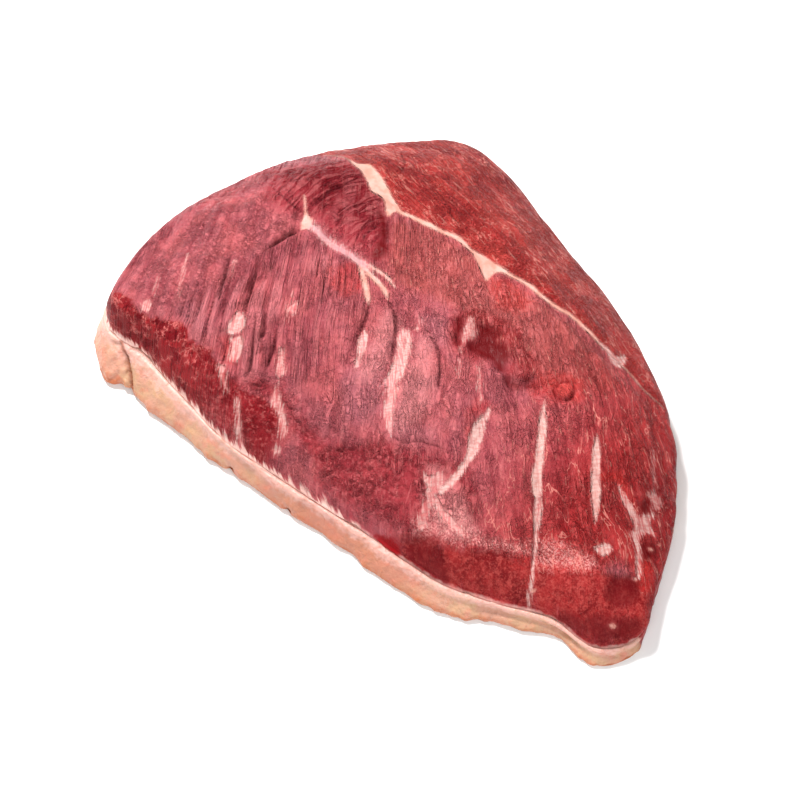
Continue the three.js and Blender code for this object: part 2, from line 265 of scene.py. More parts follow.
SCARLET = {
    "facet_rim": [
        (58, -80), (70, -75), (79.5, -70), (88.5, -64.5), (90, -67.5), (81, -73), (71.5, -77.5),
        (61, -82.5),
    ],
    "facet_rim_right": [(93, -64), (104.5, -59), (113.5, -54), (114, -55.5), (104.5, -61), (94, -66)],
    "tip_strip": [
        (123, -37.5), (127, -34), (132, -40.5), (136, -49), (139, -56.5), (136, -58), (131.5, -50),
        (127, -44),
    ],
    "tip_bead": [(133, -67), (136.5, -62), (140, -58), (142, -61), (140, -65.5), (137, -68)],
    "by_the_star": [
        (93, -23), (95, -18), (98.5, -15), (103.5, -16), (107, -19.5), (104.5, -21), (99, -20.5),
    ],
    "by_the_fork": [
        (-53.5, -11), (-51, -4.5), (-46, -1.5), (-40, -6), (-36.5, -11.5), (-40.5, -18), (-46, -18),
    ],
    "under_the_wedge": [(3.5, 27), (8, 32), (14.5, 32), (24, 28), (26, 22), (21, 17.5), (15, 16), (9, 21)],
    "round_the_nodule": [(47, -6), (50, 2), (62.5, 7), (68.5, 2), (65, -4), (56.5, -9), (50, -11)],
    "branch_side": [
        (37, -24), (34, -31), (37, -39), (41, -43), (40.5, -38), (38, -34), (38.5, -29), (38.5, -25),
    ],
    "bead": [(57, -1), (58, 2.5), (61, 3.5), (64, 1), (63, -3), (59.5, -3.5)],
    "left_spot": [(-74, -62), (-68, -60), (-64, -66), (-70, -68)],
}
RUDDY = {
    "bulge": [
        (31, 0.6), (31.5, 2.9), (33.7, 4.9), (38.1, 5.1), (42.1, 4.5), (45.1, 2.4), (46.6, -1.3),
        (45.5, -5.5), (42.3, -8.3), (38, -8.7), (35.9, -7.9), (35, -3.6), (33.5, -0.7),
    ],
    "right_edge": [
        (99.5, 11.8), (110.3, 6.1), (118.8, -3.5), (125.9, -14.4), (130.7, -28.1), (132, -36.5),
        (127.4, -32.9), (122.2, -20.3), (115.7, -8.8), (107.2, -0.1),
    ],
    "far_edge": [(-60, 96), (-30, 90), (0, 80), (-4, 77), (-34, 86), (-62, 92)],
    "round_the_hollow": [(2, 2), (8, 9), (22, 12), (34, 9), (30, -1), (22, -12), (12, -13), (4, -6)],
}
# Darker zones. Over the carved hollow, its left end and its foot below the bulge, the dark is painted
# shade; the other zones are only painted darker.
DARK = {
    "hollow": [
        (12.3, 4.7), (15.8, 6.4), (21, 6.8), (25, 2.7), (29.4, 2.3), (32, 0), (34.3, -4), (35.8, -8.6),
        (33.7, -9.6), (29.9, -8.6), (25.5, -6.6), (21.8, -7), (18.1, -7.3), (15.9, -6.4), (15.6, -4.4),
        (16.6, -2.1), (15.4, 1.1),
    ],
    "hollow_foot": [
        (36.5, -9.8), (40.2, -9.4), (43.5, -8.4), (45.7, -5.9), (46.7, -2.8), (48.4, -5.5), (46.8, -9.2),
        (43.3, -11.8), (40, -12.5),
    ],
    "roll_hole": [(-123.5, -72.5), (-119, -73), (-118, -76), (-121.5, -77.5)],
    "hollow_left": [
        (4.3, 0.5), (4.8, 2), (7, 3), (9.5, -0.3), (11.4, -4.4), (13.1, -8.3), (11.4, -9.4), (8, -5.2),
    ],
    "tip_brown": [(107, -73), (113.5, -71.5), (119.5, -71.5), (125, -73.5), (121.5, -76), (114.5, -76)],
    "star_foot": [(120.5, -31.5), (123.5, -26), (128, -27.5), (127.5, -33), (123.5, -35.5)],
    "star_head": [(111, -19), (112.5, -13), (117.5, -16), (116, -21)],
    "facet_left": [
        (40.5, -87), (46, -82.5), (54.5, -82), (59.5, -85), (64, -88.5), (56.5, -92), (46.5, -90.5),
    ],
    "tip_low": [(119, -72), (128, -63.5), (137.5, -58.5), (139, -62.5), (134, -69.5), (127, -75)],
    "tip_side": [(118, -52), (127, -44), (133, -51.5), (128, -60), (121, -59)],
    "under_the_lobe": [
        (-54.5, 26), (-50.5, 25.5), (-39, 10.5), (-39.5, 6), (-44.5, 5), (-45, 11), (-47.5, 17),
    ],
}
SILVER = {
    "between_streaks": [
        (-18, -46), (-11.5, -41), (-5, -40), (0, -44), (3, -54), (-0.5, -61.5), (-9.5, -60),
        (-16.5, -52.5),
    ],
    "right_of_big": [(11.5, -55), (17.5, -50), (26.5, -45.5), (28, -51.5), (19.5, -57.5), (13, -59)],
    "below_the_fork": [(-10, -7.5), (0.5, -4), (7, -11.5), (4.5, -15), (-2.5, -10.5)],
    "left_blue": [(-99.5, -59.5), (-91.5, -54.5), (-84, -60.5), (-87.5, -63.5), (-95.5, -63.5)],
    "near_the_tip": [(115, -50), (119, -44), (123.5, -43.5), (125.5, -47), (120.5, -53)],
    "short_seam": [(-74, 6), (-62, 3.5), (-50, 3.5), (-42, 0), (-52, -0.5), (-64, 0), (-74, 2.5)],
}
BLOOD = {
    "on_the_fat": [(27, -88.8), (31, -88.2), (35, -88), (39, -88.2), (40, -89.8), (35, -90.6), (30, -90.2)],
}

ZONES = {
    "crinkled": CRINKLED,
    "upper": UPPER,
    "fibrous": FIBROUS,
    "frost": FROST,
    "pink": PINK,
    "scarlet": SCARLET,
    "ruddy": RUDDY,
    "dark": DARK,
    "silver": SILVER,
    "blood": BLOOD,
}
# The fields that the relief and the material of the lean share.
LEAN_FIELDS = (*ZONES, "beyond", "cut", "plum", "pale", "solid", "waves", "ridged", "crease", "bead")

# Folds cut into the surface, which the material paints with shade: path, half width, depth.
FOLDS = {
    "crease": ([
        (-78, 1.5), (-79, -2.5), (-80.5, -7.5), (-81.5, -13), (-82.5, -17), (-83.5, -23),
    ], 1.1, 3.2),
    "crease_tail": ([(-79.5, 7), (-84.5, 8), (-91.5, 8), (-98.5, 10), (-109.5, 16)], 0.8, 0.6),
    "big_streak_side": ([(-28.5, -6), (-20.5, -11.5), (-14, -17.5), (-8, -28), (-4.5, -35.5)], 1.2, 1.1),
    "left_of_big_side": ([(-31, -13), (-27, -21), (-25.5, -27), (-23, -33.5), (-19.5, -41)], 1.1, 1.2),
    "right_ridge": ([(-7, -9.5), (0.5, -13), (8, -17.5), (14, -25), (17.5, -31), (20, -37.5)], 1.1, 0.9),
    "facet_fold": ([(32.5, -64.5), (37, -68.5), (41.5, -72.5)], 0.8, 0.6),
    "low_wrinkle": ([(13.5, -58.5), (18.5, -58), (24.5, -54), (31, -52), (35.5, -51)], 0.8, 0.5),
    "low_wrinkle_right": ([(27, -63), (31, -63), (37, -68.5), (40.5, -75.5)], 0.8, 0.5),
    "left_1": ([(-64, -44), (-59.5, -50.5), (-58.5, -54.5)], 0.9, 2.4),
    "left_2": ([(-55, -47), (-52, -55), (-50.5, -59.5), (-49.5, -64)], 0.9, 2.2),
    "left_3": ([(-68, -45.5), (-64, -53), (-59.5, -60), (-55.5, -67), (-56, -71)], 0.9, 2.8),
    "left_4": ([(-84.5, -21), (-79.5, -30.5), (-76, -38.5), (-74, -44.5), (-73, -48.5)], 0.9, 2.5),
    "left_5": ([(-96.5, -26.5), (-91.5, -36), (-88, -44.5), (-84.5, -51.5)], 0.9, 2.1),
    "lobe_1": ([(-82, 8), (-81.5, 12.5), (-80, 18), (-79.5, 25), (-77.5, 31.5), (-75, 37)], 1.1, 1.1),
    "lobe_2": ([(-54, 6), (-55, 9.5), (-56, 13.5), (-55.5, 19.5), (-53, 22.5)], 0.8, 0.9),
    "lobe_3": ([(-50.5, 5.5), (-52, 8.5), (-53, 14), (-52, 18.5), (-51, 22.5)], 0.8, 0.9),
    "lobe_6": ([(-47, 6), (-47.5, 10), (-47.5, 14.5), (-47, 18)], 0.8, 0.7),
    "lobe_4": ([(-82, 15.5), (-83.5, 28), (-81, 38)], 1.0, 0.5),
    "lobe_5": ([(-66, 6), (-68, 16), (-65, 26), (-61, 33)], 1.0, 0.5),
    "lobe_edge": ([(-50, 26), (-44.5, 18), (-39, 10.5)], 1.1, 0.9),
    "long_streak_side": ([(74, -43), (78, -47.5), (83, -53), (87, -60), (91, -67), (94, -73.5)], 0.8, 0.9),
    "facet_corner": ([(55, -81), (60, -84.5), (64.5, -87.5), (70, -87)], 0.9, 0.6),
    "far_left_crack": ([(-73.5, 67), (-65.5, 60), (-62.5, 52.5), (-63, 47)], 0.8, 0.5),
    "far_right_crack": ([(-40, 51.5), (-34, 48.5), (-29, 44.5), (-23.5, 41.5)], 0.8, 0.5),
}
# Path, half width, depth, and how far down the side each starts. The roll starts above it.
FAT_FOLDS = {
    "roll": ([
        (-124, -73), (-120.7, -75.5), (-116.3, -79.9), (-112.9, -83.1), (-109.6, -86.1), (-106.8, -89.3),
        (-105, -93),
    ], 1.3, 3.2, -0.15),
    "notch_left": ([(-49, -91), (-45, -97)], 1.5, 1.6, 0.6),
    "notch_middle": ([(-18.5, -92), (-13, -98)], 1.5, 1.6, 0.6),
    "step": ([(78, -82), (80.5, -89)], 1.2, 1.4, 0.5),
}
FOLD_EASE = 0.15  # how softly each starts
LEDGE_AT = 0.45  # how far down the side of the fat its ledge near the tip is
LEDGE_SOFT = 0.06
LEDGE_HEIGHT = 0.8
NODULE = {"at": (60.5, 0), "radius": 3.6, "height": 2.0}
MOAT = {"at": 1.15, "half": 0.22, "depth": 0.8}  # the ring round the nodule, in its radii, and its depth
FIBRE_FAN = (-227.8, 279.5)  # the fibres of the main muscle fan out from here
FAN_RADIUS = 395  # turns their angle into millimetres
ARC_CENTRE = (-35, 12)  # the wrinkles of the lobe are arcs about this point
ARC_RADIUS = 40  # turns their angle into millimetres
FAR_GRAIN = (0.95, -0.31)  # direction of the fibres beyond the long seam
# Height where the lean meets the fat: at the middle, and its change for each millimetre of X.
LAYER_MIDDLE, LAYER_SLOPE = 10.95, -0.036
KEPT_SHARP = 0.3  # points this close to that height are not eased
OFF = -8.0  # how negative a distance field gets
PATH_STEPS = 4  # points on each stretch of a smoothed path
TINY = 1e-9  # keeps a division by zero away

# Seeded noise of the relief: height and sizes along its two directions in millimetres, and seed.
NOISES = {
    "broad_warp": (2.2, 38, 38, 7.5),
    "small_warp": (0.9, 13, 13, 5.5),
    "patches": (1, 19, 19, 3.5),
    "waves": (1, 5.2, 36, 1.5),
    "fine_waves": (0.25, 2.4, 15, 2.5),
    "cords": (0.25, 2.6, 17, 9.5),
    "small_grooves": (1, 3.1, 8, 11.5),
    "cells": (1, 4.2, 3.6, 12.5),
    "lumps": (0.55, 10, 10, 13.5),
    "swells": (0.9, 24, 24, 14.5),
    "far_cords": (0.25, 2.2, 9, 15.5),
    "cut_grain": (0.5, 3.4, 3.4, 16.5),
    "seam_ripples": (0.3, 5, 1.3, 17.5),
    "cut_edge": (0.6, 4, 1, 19.5),
    "fat_lumps": (0.6, 7, 1, 21.5),
    "fat_grain": (0.25, 2.4, 3, 23.5),
    "fat_foot": (1.3, 6, 9, 24.5),
    "ledge": (0.12, 8, 1, 25.5),
    "lip": (0.7, 3.5, 1, 26.5),
}
# Where each zone comes in along X: none of it at the first place and all at the second.
ALONG = {
    "left": (-25, -60),
    "right": (10, 60),
    "coarse": (20, -70),
    "chunky": (-62, -82),
    "tone": (35, 100),
    "dashed": (20, 70),
    "fringed": (30, 0),
    "flesh_left": (-20, -34),
    "flesh_right": (30, 44),
    "hollow_left": (5, 12),
    "hollow_right": (60, 40),
    "ledge_left": (35, 60),
    "ledge_right": (130, 118),
    "uneven_lip": (60, 0),
    "flushed_left": (-50, -10),
    "flushed_right": (70, 30),
    "skinned": (118, 132),
}
SKINNED_Y = (-66, -56)  # the skinned end of the fat comes in here along Y
# Depths and heights of the relief, in millimetres.
GROOVE, SMALL_GROOVE, CELL = 2.2, 0.45, 0.7
FOLD_RIM = 0.3  # height of the swollen rims of a fold, as a share of its depth
SEAM_DIP = 0.35
HOLLOW = 1.9
RAISED = 1.0
LIP = 0.9  # how far lean and fat stand out where they meet
LEAN_IN, FAT_IN = 0.1, 0.3  # how far the rest stays in, so that it fits its box

MEAT_SHADE = 0.86
UNDERSIDE = -0.7  # faces that look further down than this are flat
STILL_UNDER = -0.8  # and points of the lean that look further down than this stay in place
LEAN_CUTS, LEAN_EASE = 2, 5  # times each edge is halved, and times the points are eased
FAT_CUTS, FAT_EASE = 2, 3

# How ragged and how soft the edge of each zone is, in millimetres, for zones of colour and of painted
# shade.
EDGES = {
    "fibrous": (6, 4),
    "upper": (8, 5),
    "plum": (10, 4),
    "ruddy": (5, 2.5),
    "silver": (4, 4),
    "pink": (8, 4),
    "frost": (9, 3),
    "scarlet": (8, 3),
    "crease": (1.6, 0.6),
    "dark": (4, 2.2),
    "blood": (3, 0.8),
}
# Colours laid over the lean: how strongly each covers, and its screen colour.
LEAN_LAYERS = {
    # light_blotches: lighter patches, a painted sheen
    "light_blotches": (1, (196, 96, 98)),
    "fibrous": (0.7, (168, 76, 70)),
    "far_right": (1, (176, 36, 34)),
    "plum": (0.8, (148, 38, 46)),
    "ruddy": (0.65, (140, 26, 30)),
    "silver": (0.6, (174, 102, 110)),
    "pink": (0.52, (216, 137, 137)),
    "frost": (0.72, (246, 168, 162)),
    "scarlet": (1, (200, 44, 38)),
    # crests: painted highlights on the wrinkles; valleys and stripes: painted shade in the wrinkles and in
    # the fine lines
    "crests": (1, (212, 120, 120)),
    "valleys": (1, (96, 14, 26)),
    "stripes": (1, (112, 24, 40)),
    "hairs": (1, (230, 140, 128)),
    # light and deep strands: painted highlights and painted shade where the strands' bump rises and sinks
    "light_strands": (1, (206, 120, 116)),
    "deep_strands": (1, (108, 22, 32)),
    "specks": (1, (214, 132, 124)),
    "pits": (1, (92, 16, 24)),
    "dashes": (0.6, (214, 136, 122)),
    "cracks": (1, (212, 128, 116)),
    # grooves: painted shade in the carved grooves; crowns: painted highlights on the ridges between them
    "grooves": (0.42, (88, 12, 26)),
    "crowns": (1, (214, 126, 130)),
    # ring: painted shade in the moat round the nodule; bead: the nodule's own scarlet, brightened on top as
    # a painted highlight
    "ring": (0.6, (112, 18, 22)),
    "bead": (0.75, (224, 84, 80)),
    # creases: painted shade in the carved folds
    "creases": (0.75, (70, 6, 16)),
    # dark: painted shade over the hollow and below the bulge, darker zones elsewhere
    "dark": (0.92, (92, 5, 9)),
    "flesh_blotches": (1, (168, 56, 58)),
    "flesh_shadows": (1, (78, 2, 10)),
    "smooth_shadows": (1, (96, 6, 12)),
    "smooth_blotches": (1, (190, 78, 72)),
    "smooth_specks": (1, (190, 84, 78)),
    "smooth_pits": (1, (86, 4, 12)),
    "even_blotches": (1, (196, 96, 94)),
    "flesh_pits": (1.3, (84, 8, 16)),
    "flesh_specks": (0.8, (190, 92, 88)),
    "veins": (0.75, (224, 124, 118)),
    "flesh_dark": (0.7, (96, 12, 18)),
    "flesh_scarlet": (0.2, (190, 34, 32)),
    "flesh_frost": (0.5, (190, 92, 92)),
    "halo": (0.4, (196, 96, 94)),
    "silver_seam": (0.8, (172, 120, 131)),
    "torn_seam": (1, (186, 96, 98)),
    "haze": (1, (196, 50, 70)),
    "wisps": (1, (234, 150, 152)),
    "threads": (1, (250, 210, 198)),
    "blood": (0.9, (146, 4, 14)),
}
# Pairs of screen colours, mixed by a noise or a place.
LEAN_PAIRS = {
    "red": ((144, 30, 32), (178, 54, 54)),
    "far": ((160, 44, 42), (180, 60, 54)),
    "lobe": ((150, 48, 56), (107, 3, 16)),
    "chunks": ((118, 16, 24), (156, 38, 42)),
    "smooth": ((108, 12, 18), (152, 40, 40)),
    "even": ((126, 18, 26), (142, 34, 40)),
    "cream": ((206, 144, 128), (219, 168, 154)),
    "rippled": ((207, 157, 149), (219, 183, 175)),
}
# darker bands along the fibre bundles: painted shading of their soft ridges
SHADED_BUNDLE_COLOUR = (157, 71, 79)
LEAN_SURFACE = {
    "Specular IOR Level": 0.06,
    "Subsurface Weight": 0.06,
    "Subsurface Radius": (1.0, 0.35, 0.25),
    "Subsurface Scale": 0.0015,
}
FAT_LAYERS = {
    "flush": (0.5, (196, 112, 92)),
    "flushed": (0.7, (174, 104, 84)),
    "lower": (0.85, (172, 92, 50)),
    "upper": (0.75, (212, 164, 154)),
    "film": (1, (150, 44, 44)),
    "pits": (0.35, (176, 104, 80)),
    # fold: painted shade in the carved folds of the fat
    "fold": (0.75, (130, 62, 34)),
}
FAT_BLOTCH_COLOUR = (186, 143, 111)
FAT_SURFACE = {
    "Specular IOR Level": 0.35,
    "Subsurface Weight": 0.2,
    "Subsurface Radius": (1.0, 0.5, 0.35),
    "Subsurface Scale": 0.003,
    "Coat Weight": 0.08,
    "Coat Roughness": 0.3,
}
PAPER_SHADE = 0.985  # how dark the darker spots of the floor are
PAPER_ROUGHNESS = 0.8

# The studio, in metres: place, size and power in watts of each light, and where the camera looks.
LIGHTS = {"key": ((-0.52, 0.16, 0.87), 0.24, 18.5), "fill": ((0.6, -0.7, 0.9), 1.2, 13)}
ROOM_LIGHT = 0.25
FLOOR_HALF = 6
LOOK_AT = (0.0001, -0.0341, 0.0235)
SENSOR_WIDTH = 36  # mm


# ---- Fields over the plan ----
# Here x, y and z are arrays of places in millimetres, and f holds the fields of the lean by name.
def smooth_path(path):
    """Catmull-Rom points through the given ones."""
    points = np.array([path[0], *path, path[-1]], float)
    out = []
    for before, start, end, after in zip(points, points[1:], points[2:], points[3:]):
        bend = 2 * before - 5 * start + 4 * end - after
        twist = 3 * start - before - 3 * end + after
        for t in np.arange(PATH_STEPS) / PATH_STEPS:
            out.append(0.5 * (2 * start + (end - before) * t + bend * t**2 + twist * t**3))
    return [tuple(p) for p in out] + [tuple(path[-1])]


def to_path(x, y, path):
    """Distance to a path, and the share of its length at the nearest place."""
    best = np.full(x.shape, np.inf)
    share = np.zeros(x.shape)
    for i, ((ax, ay), (bx, by)) in enumerate(zip(path, path[1:])):
        ux, uy = bx - ax, by - ay
        t = np.clip(((x - ax) * ux + (y - ay) * uy) / max(ux * ux + uy * uy, TINY), 0, 1)
        distance = np.hypot(x - ax - t * ux, y - ay - t * uy)
        nearer = distance < best
        best = np.where(nearer, distance, best)
        share = np.where(nearer, (i + t) / (len(path) - 1), share)
    return best, share


def round_the_foot(x, y):
    """Distance in from the foot of the lean, and the way round it, both in millimetres."""
    distance, share = to_path(x, y, smooth_path(FOOT + FOOT[:1]))
    return distance, share * FOOT_LENGTH


def inside(x, y, outline):
    """Distance in from a closed outline, negative outside."""
    closed = smooth_path(outline + outline[:1])
    distance, _ = to_path(x, y, closed)
    within = np.zeros(x.shape, bool)
    for (ax, ay), (bx, by) in zip(closed, closed[1:]):
        crosses = (ay > y) != (by > y)
        within ^= crosses & (x < ax + (y - ay) * (bx - ax) / ((by - ay) or TINY))
    return np.where(within, distance, -distance)


def step(low, high, value, bottom=0):
    """Eased from bottom to 1 while value goes from low to high."""
    t = np.clip((value - low) / (high - low), 0, 1)
    return bottom + (1 - bottom) * t * t * (3 - 2 * t)


def along(name, x):
    """How much of the named zone there is at each X, from 0 to 1."""
    return step(*ALONG[name], x)


def bell(value):
    """1 at 0, and soon 0 on both sides."""
    return np.exp(-(value**2))


def above(x, y, path):
    """How far a point lies above a path that runs along X."""
    xs, ys = zip(*smooth_path(path))
    return y - np.interp(x, xs, ys)


def seeded(name, u, v):
    """The named noise at each pair of u and v."""
    height, width, length, seed = NOISES[name]
    pairs = zip((u / width).tolist(), (v / length).tolist())
    return height * np.array([noise.noise((a, b, seed)) for a, b in pairs])


def grooves(values, sharp, power=1):
    """-1 along the lines where a noise changes its sign, and 0 away from them."""
    return np.minimum(np.abs(values) * sharp, 1) ** power - 1


def near(x, y, path):
    """Which points are close enough to a path or outline to matter."""
    xs, ys = np.array(path).T
    in_x = (x > xs.min() + OFF) & (x < xs.max() - OFF)
    return in_x & (y > ys.min() + OFF) & (y < ys.max() - OFF)


def pale_field(x, y):
    """Distance in from the edge of the nearest pale fat, the painted glints included, negative outside, and
    how solid it is.
    """
    field = np.full(x.shape, OFF)
    solid = np.zeros(x.shape)

    def put(own, solidity, some):
        more = own > field[some]
        solid[some] = np.where(more, solidity, solid[some])
        field[some] = np.maximum(field[some], own)

    for path, half, solidity in SEAMS.values():
        some = near(x, y, path)
        distance, share = to_path(x[some], y[some], smooth_path(path))
        taper = 0.25 + 0.75 * step(0, 0.2, share) * step(1, 0.8, share)
        put(half * taper - distance, solidity, some)
    for outline, solidity in PATCHES.values():
        some = near(x, y, outline)
        put(inside(x[some], y[some], outline), solidity, some)
    return field, solid


def patch_field(x, y, patches):
    """Distance in from the edge of the nearest of some outlines, negative outside."""
    field = np.full(x.shape, OFF)
    for outline in patches.values():
        some = near(x, y, outline)
        field[some] = np.maximum(field[some], inside(x[some], y[some], outline))
    return field


def layer_height(x):
    """Height where the lean meets the fat."""
    return LAYER_MIDDLE + LAYER_SLOPE * x


def lean_fields(x, y, z):
    """Every field of the lean at its points."""
    f = {name: patch_field(x, y, patches) for name, patches in ZONES.items()}
    f["beyond"] = step(-0.7, 0.7, above(x, y, LONG_SEAM))
    f["cut"] = np.maximum(-above(x, y, CUT_EDGE), OFF)
    in_plum = np.minimum(-above(x, y, PLUM_EDGE), above(x, y, CUT_EDGE))
    f["plum"] = np.maximum(in_plum, OFF)
    f["pale"], f["solid"] = pale_field(x, y)

    fan_x, fan_y = x - FIBRE_FAN[0], y - FIBRE_FAN[1]
    warp = seeded("broad_warp", x, y) + seeded("small_warp", x, y)
    gx, gy = FAR_GRAIN
    far = f["beyond"] > 0.5
    f["across"] = np.where(far, gx * y - gy * x, np.arctan2(fan_y, fan_x) * FAN_RADIUS) + warp
    f["along"] = np.where(far, gx * x + gy * y, np.hypot(fan_x, fan_y))

    arc_x, arc_y = x - ARC_CENTRE[0], y - ARC_CENTRE[1]
    f["arc_across"] = np.hypot(arc_x, arc_y) + warp
    f["arc_along"] = np.arctan2(arc_y, -arc_x) * ARC_RADIUS

    f["inset"], f["round"] = round_the_foot(x, y)
    f["rise"] = z - layer_height(x)
    return f


def fibre_relief(x, y, f):
    """The grooves, wrinkles and lumps of the lean. Its waves and ridges stay in f."""
    u, v = f["across"], f["along"]
    off_seam = step(0.5, -1.5, f["pale"])
    near_side = 1 - f["beyond"]
    left = along("left", x) * near_side
    right = along("right", x) * near_side
    on_top = step(-1, 2.5, -f["cut"])
    bare = on_top * off_seam
    crinkled = step(-5, 5, f["crinkled"]) * near_side
    patchy = step(-0.35, 0.25, seeded("patches", x, y), 0.3)
    f["waves"] = seeded("waves", u, v) + seeded("fine_waves", u, v)
    f["ridged"] = (0.22 + 0.78 * left) * patchy * bare * (1 - 0.8 * f["beyond"])
    f["ridged"] *= (1 - 0.6 * crinkled) * step(2, 16, f["inset"], 0.35)

    relief = GROOVE * f["ridged"] * grooves(f["waves"], 3.2, 0.6)
    relief += seeded("cords", u, v) * near_side * bare
    small = grooves(seeded("small_grooves", u, v), 2.5)
    relief += SMALL_GROOVE * small * step(0.9, 0.3, left) * near_side * bare
    cells = grooves(seeded("cells", x, y), 2.6)
    relief += CELL * (crinkled + step(-3, 4, f["plum"])) * cells * bare
    relief += seeded("lumps", x, y) + seeded("swells", x, y)
    relief += seeded("far_cords", u, v) * f["beyond"]
    relief += seeded("cut_grain", x, y) * (1 - on_top) * (1 - right)
    return relief + seeded("seam_ripples", u, v) * step(-0.5, 0.5, f["pale"]) * right


def fold_relief(x, y, f):
    """The folds with their swollen rims, which the material paints with shade. The distance in from the
    nearest stays in f.
    """
    relief = np.zeros(x.shape)
    f["crease"] = np.full(x.shape, OFF)
    for path, half, deep in FOLDS.values():
        distance, share = to_path(x, y, smooth_path(path))
        fade = step(0, 0.3, share) * step(1, 0.7, share)
        relief -= deep * fade * bell(distance / half)
        relief += FOLD_RIM * deep * fade * bell((distance / half - 2.6) / 1.3)
        f["crease"] = np.maximum(f["crease"], half * fade * min(deep / 1.5, 0.9) - distance)
    return relief


def nodule_relief(x, y, f):
    """The small round nodule in its ring. The distance in from its edge stays in f."""
    from_nodule = np.hypot(x - NODULE["at"][0], y - NODULE["at"][1]) / NODULE["radius"]
    f["bead"] = np.maximum((1 - from_nodule) * NODULE["radius"], OFF)
    dome = NODULE["height"] * np.sqrt(np.clip(1 - from_nodule**2, 0, 1))
    return dome - MOAT["depth"] * bell((from_nodule - MOAT["at"]) / MOAT["half"])


def lean_relief(x, y, f):
    """How far each point of the lean moves out along its normal, in millimetres."""
    relief = fibre_relief(x, y, f) + fold_relief(x, y, f) + nodule_relief(x, y, f)
    relief -= SEAM_DIP * step(-1.2, 0.8, f["pale"]) * step(1, 0.7, f["solid"])
    in_hollow = step(-2.5, 3, f["dark"]) * along("hollow_right", x) * along("hollow_left", x)
    relief -= HOLLOW * in_hollow
    raised = {"tendon": PATCHES["tendon"][0], "bulge": RUDDY["bulge"]}
    relief += RAISED * step(-1.5, 2.5, patch_field(x, y, raised))
    relief += bell(f["cut"] / 1.6) * seeded("cut_edge", f["round"], x * 0)
    return join(relief - LEAN_IN, f["rise"], LIP)


def join(relief, rise, lip):
    """The relief, led over to another where lean and fat meet."""
    return relief + (lip - relief) * step(1.8, 0.4, np.abs(rise))


def lean_masks(x, f):
    """The fields that only the material of the lean reads."""
    masks = {name: along(name, x) for name in ("coarse", "tone", "chunky")}
    masks["fleshy"] = np.maximum(along("flesh_left", x), along("flesh_right", x))
    in_fibres = step(-3, 3, f["fibrous"])
    masks["dashed"] = np.max([in_fibres, 0.7 * along("dashed", x), 0.8 * f["beyond"]], axis=0)
    masks["rippling"] = step(-0.6, 0.6, f["pale"]) * step(0.95, 0.9, f["solid"])
    masks["fringed"] = 0.2 + 0.8 * along("fringed", x)
    smooth_cut = 0.7 * masks["fleshy"] * step(-0.5, 2, f["cut"]) * (1 - masks["coarse"])
    in_dark = 0.8 * step(-2, 2, f["dark"])
    on_pale = step(-0.6, 0.6, f["pale"]) * (0.6 + 0.4 * f["solid"])
    on_foot = 0.9 * step(5, 2, f["rise"])
    masks["lively"] = 1 - np.max([smooth_cut, in_dark, on_pale, on_foot], axis=0)
    return masks


def fat_relief(x, y, z, facing):
    """How far each point of the fat moves out along its normal, and the fields of its material."""
    down = np.clip(1 - z / layer_height(x), 0, 1)
    _, way_round = round_the_foot(x, y)
    relief = seeded("fat_lumps", x, z / 5 + y / 9) + seeded("fat_grain", x, y) - FAT_IN
    relief += step(0.35, 0.9, down) * seeded("fat_foot", way_round, z)
    ledge = down - LEDGE_AT - seeded("ledge", way_round, z * 0)
    near_tip = along("ledge_left", x) * along("ledge_right", x)
    relief += LEDGE_HEIGHT * np.tanh(ledge / LEDGE_SOFT) * near_tip
    relief *= step(0.95, 0.3, np.abs(facing))
    fold = np.zeros(x.shape)
    for path, half, deep, start in FAT_FOLDS.values():
        distance, _ = to_path(x, y, smooth_path(path))
        closeness = bell(distance / half) * step(0.999, 0.9, np.abs(facing))
        closeness *= step(start - FOLD_EASE, start + FOLD_EASE, down)
        relief -= deep * closeness
        fold = np.maximum(fold, closeness)
    lip = LIP + seeded("lip", way_round, z * 0) * along("uneven_lip", x)
    relief = np.where(np.abs(facing) < 0.95, join(relief, z - layer_height(x), lip), relief)
    skinned = along("skinned", x) * step(*SKINNED_Y, y)
    flushed = along("flushed_left", x) * along("flushed_right", x)
    return relief, {"down": down, "fold": fold, "skinned": skinned, "flushed": flushed}


# ---- Meshes ----
def divided_copy(node, cuts, smoothing):
    """A bmesh of a CAD node in millimetres, merged, divided and eased."""
    bm = bmesh.new()
    bm.from_mesh(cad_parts[node].data)
    bmesh.ops.remove_doubles(bm, verts=bm.verts, dist=1e-6)
    bmesh.ops.scale(bm, vec=(1 / MM,) * 3, verts=bm.verts)
    for _ in range(cuts):
        bmesh.ops.subdivide_edges(bm, edges=bm.edges, cuts=1, use_grid_fill=True)
    eased = [v for v in bm.verts if abs(v.co.z - layer_height(v.co.x)) > KEPT_SHARP]
    axes = {"use_axis_x": True, "use_axis_y": True, "use_axis_z": True}
    for _ in range(smoothing):
        bmesh.ops.smooth_vert(bm, verts=eased, factor=0.5, **axes)
    bm.normal_update()
    return bm


def places(bm):
    """The coordinates of every point, and how far up its normal looks."""
    return (*np.array([v.co for v in bm.verts]).T, np.array([v.normal.z for v in bm.verts]))


def move_out(bm, amounts, node):
    """Moves every point along its normal and keeps it inside the box of its CAD node."""
    low, high = (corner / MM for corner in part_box(node))
    for vert, amount in zip(bm.verts, amounts.tolist()):
        moved = vert.co + vert.normal * amount
        vert.co = Vector(min(max(c, a), b) for c, a, b in zip(moved, low, high))


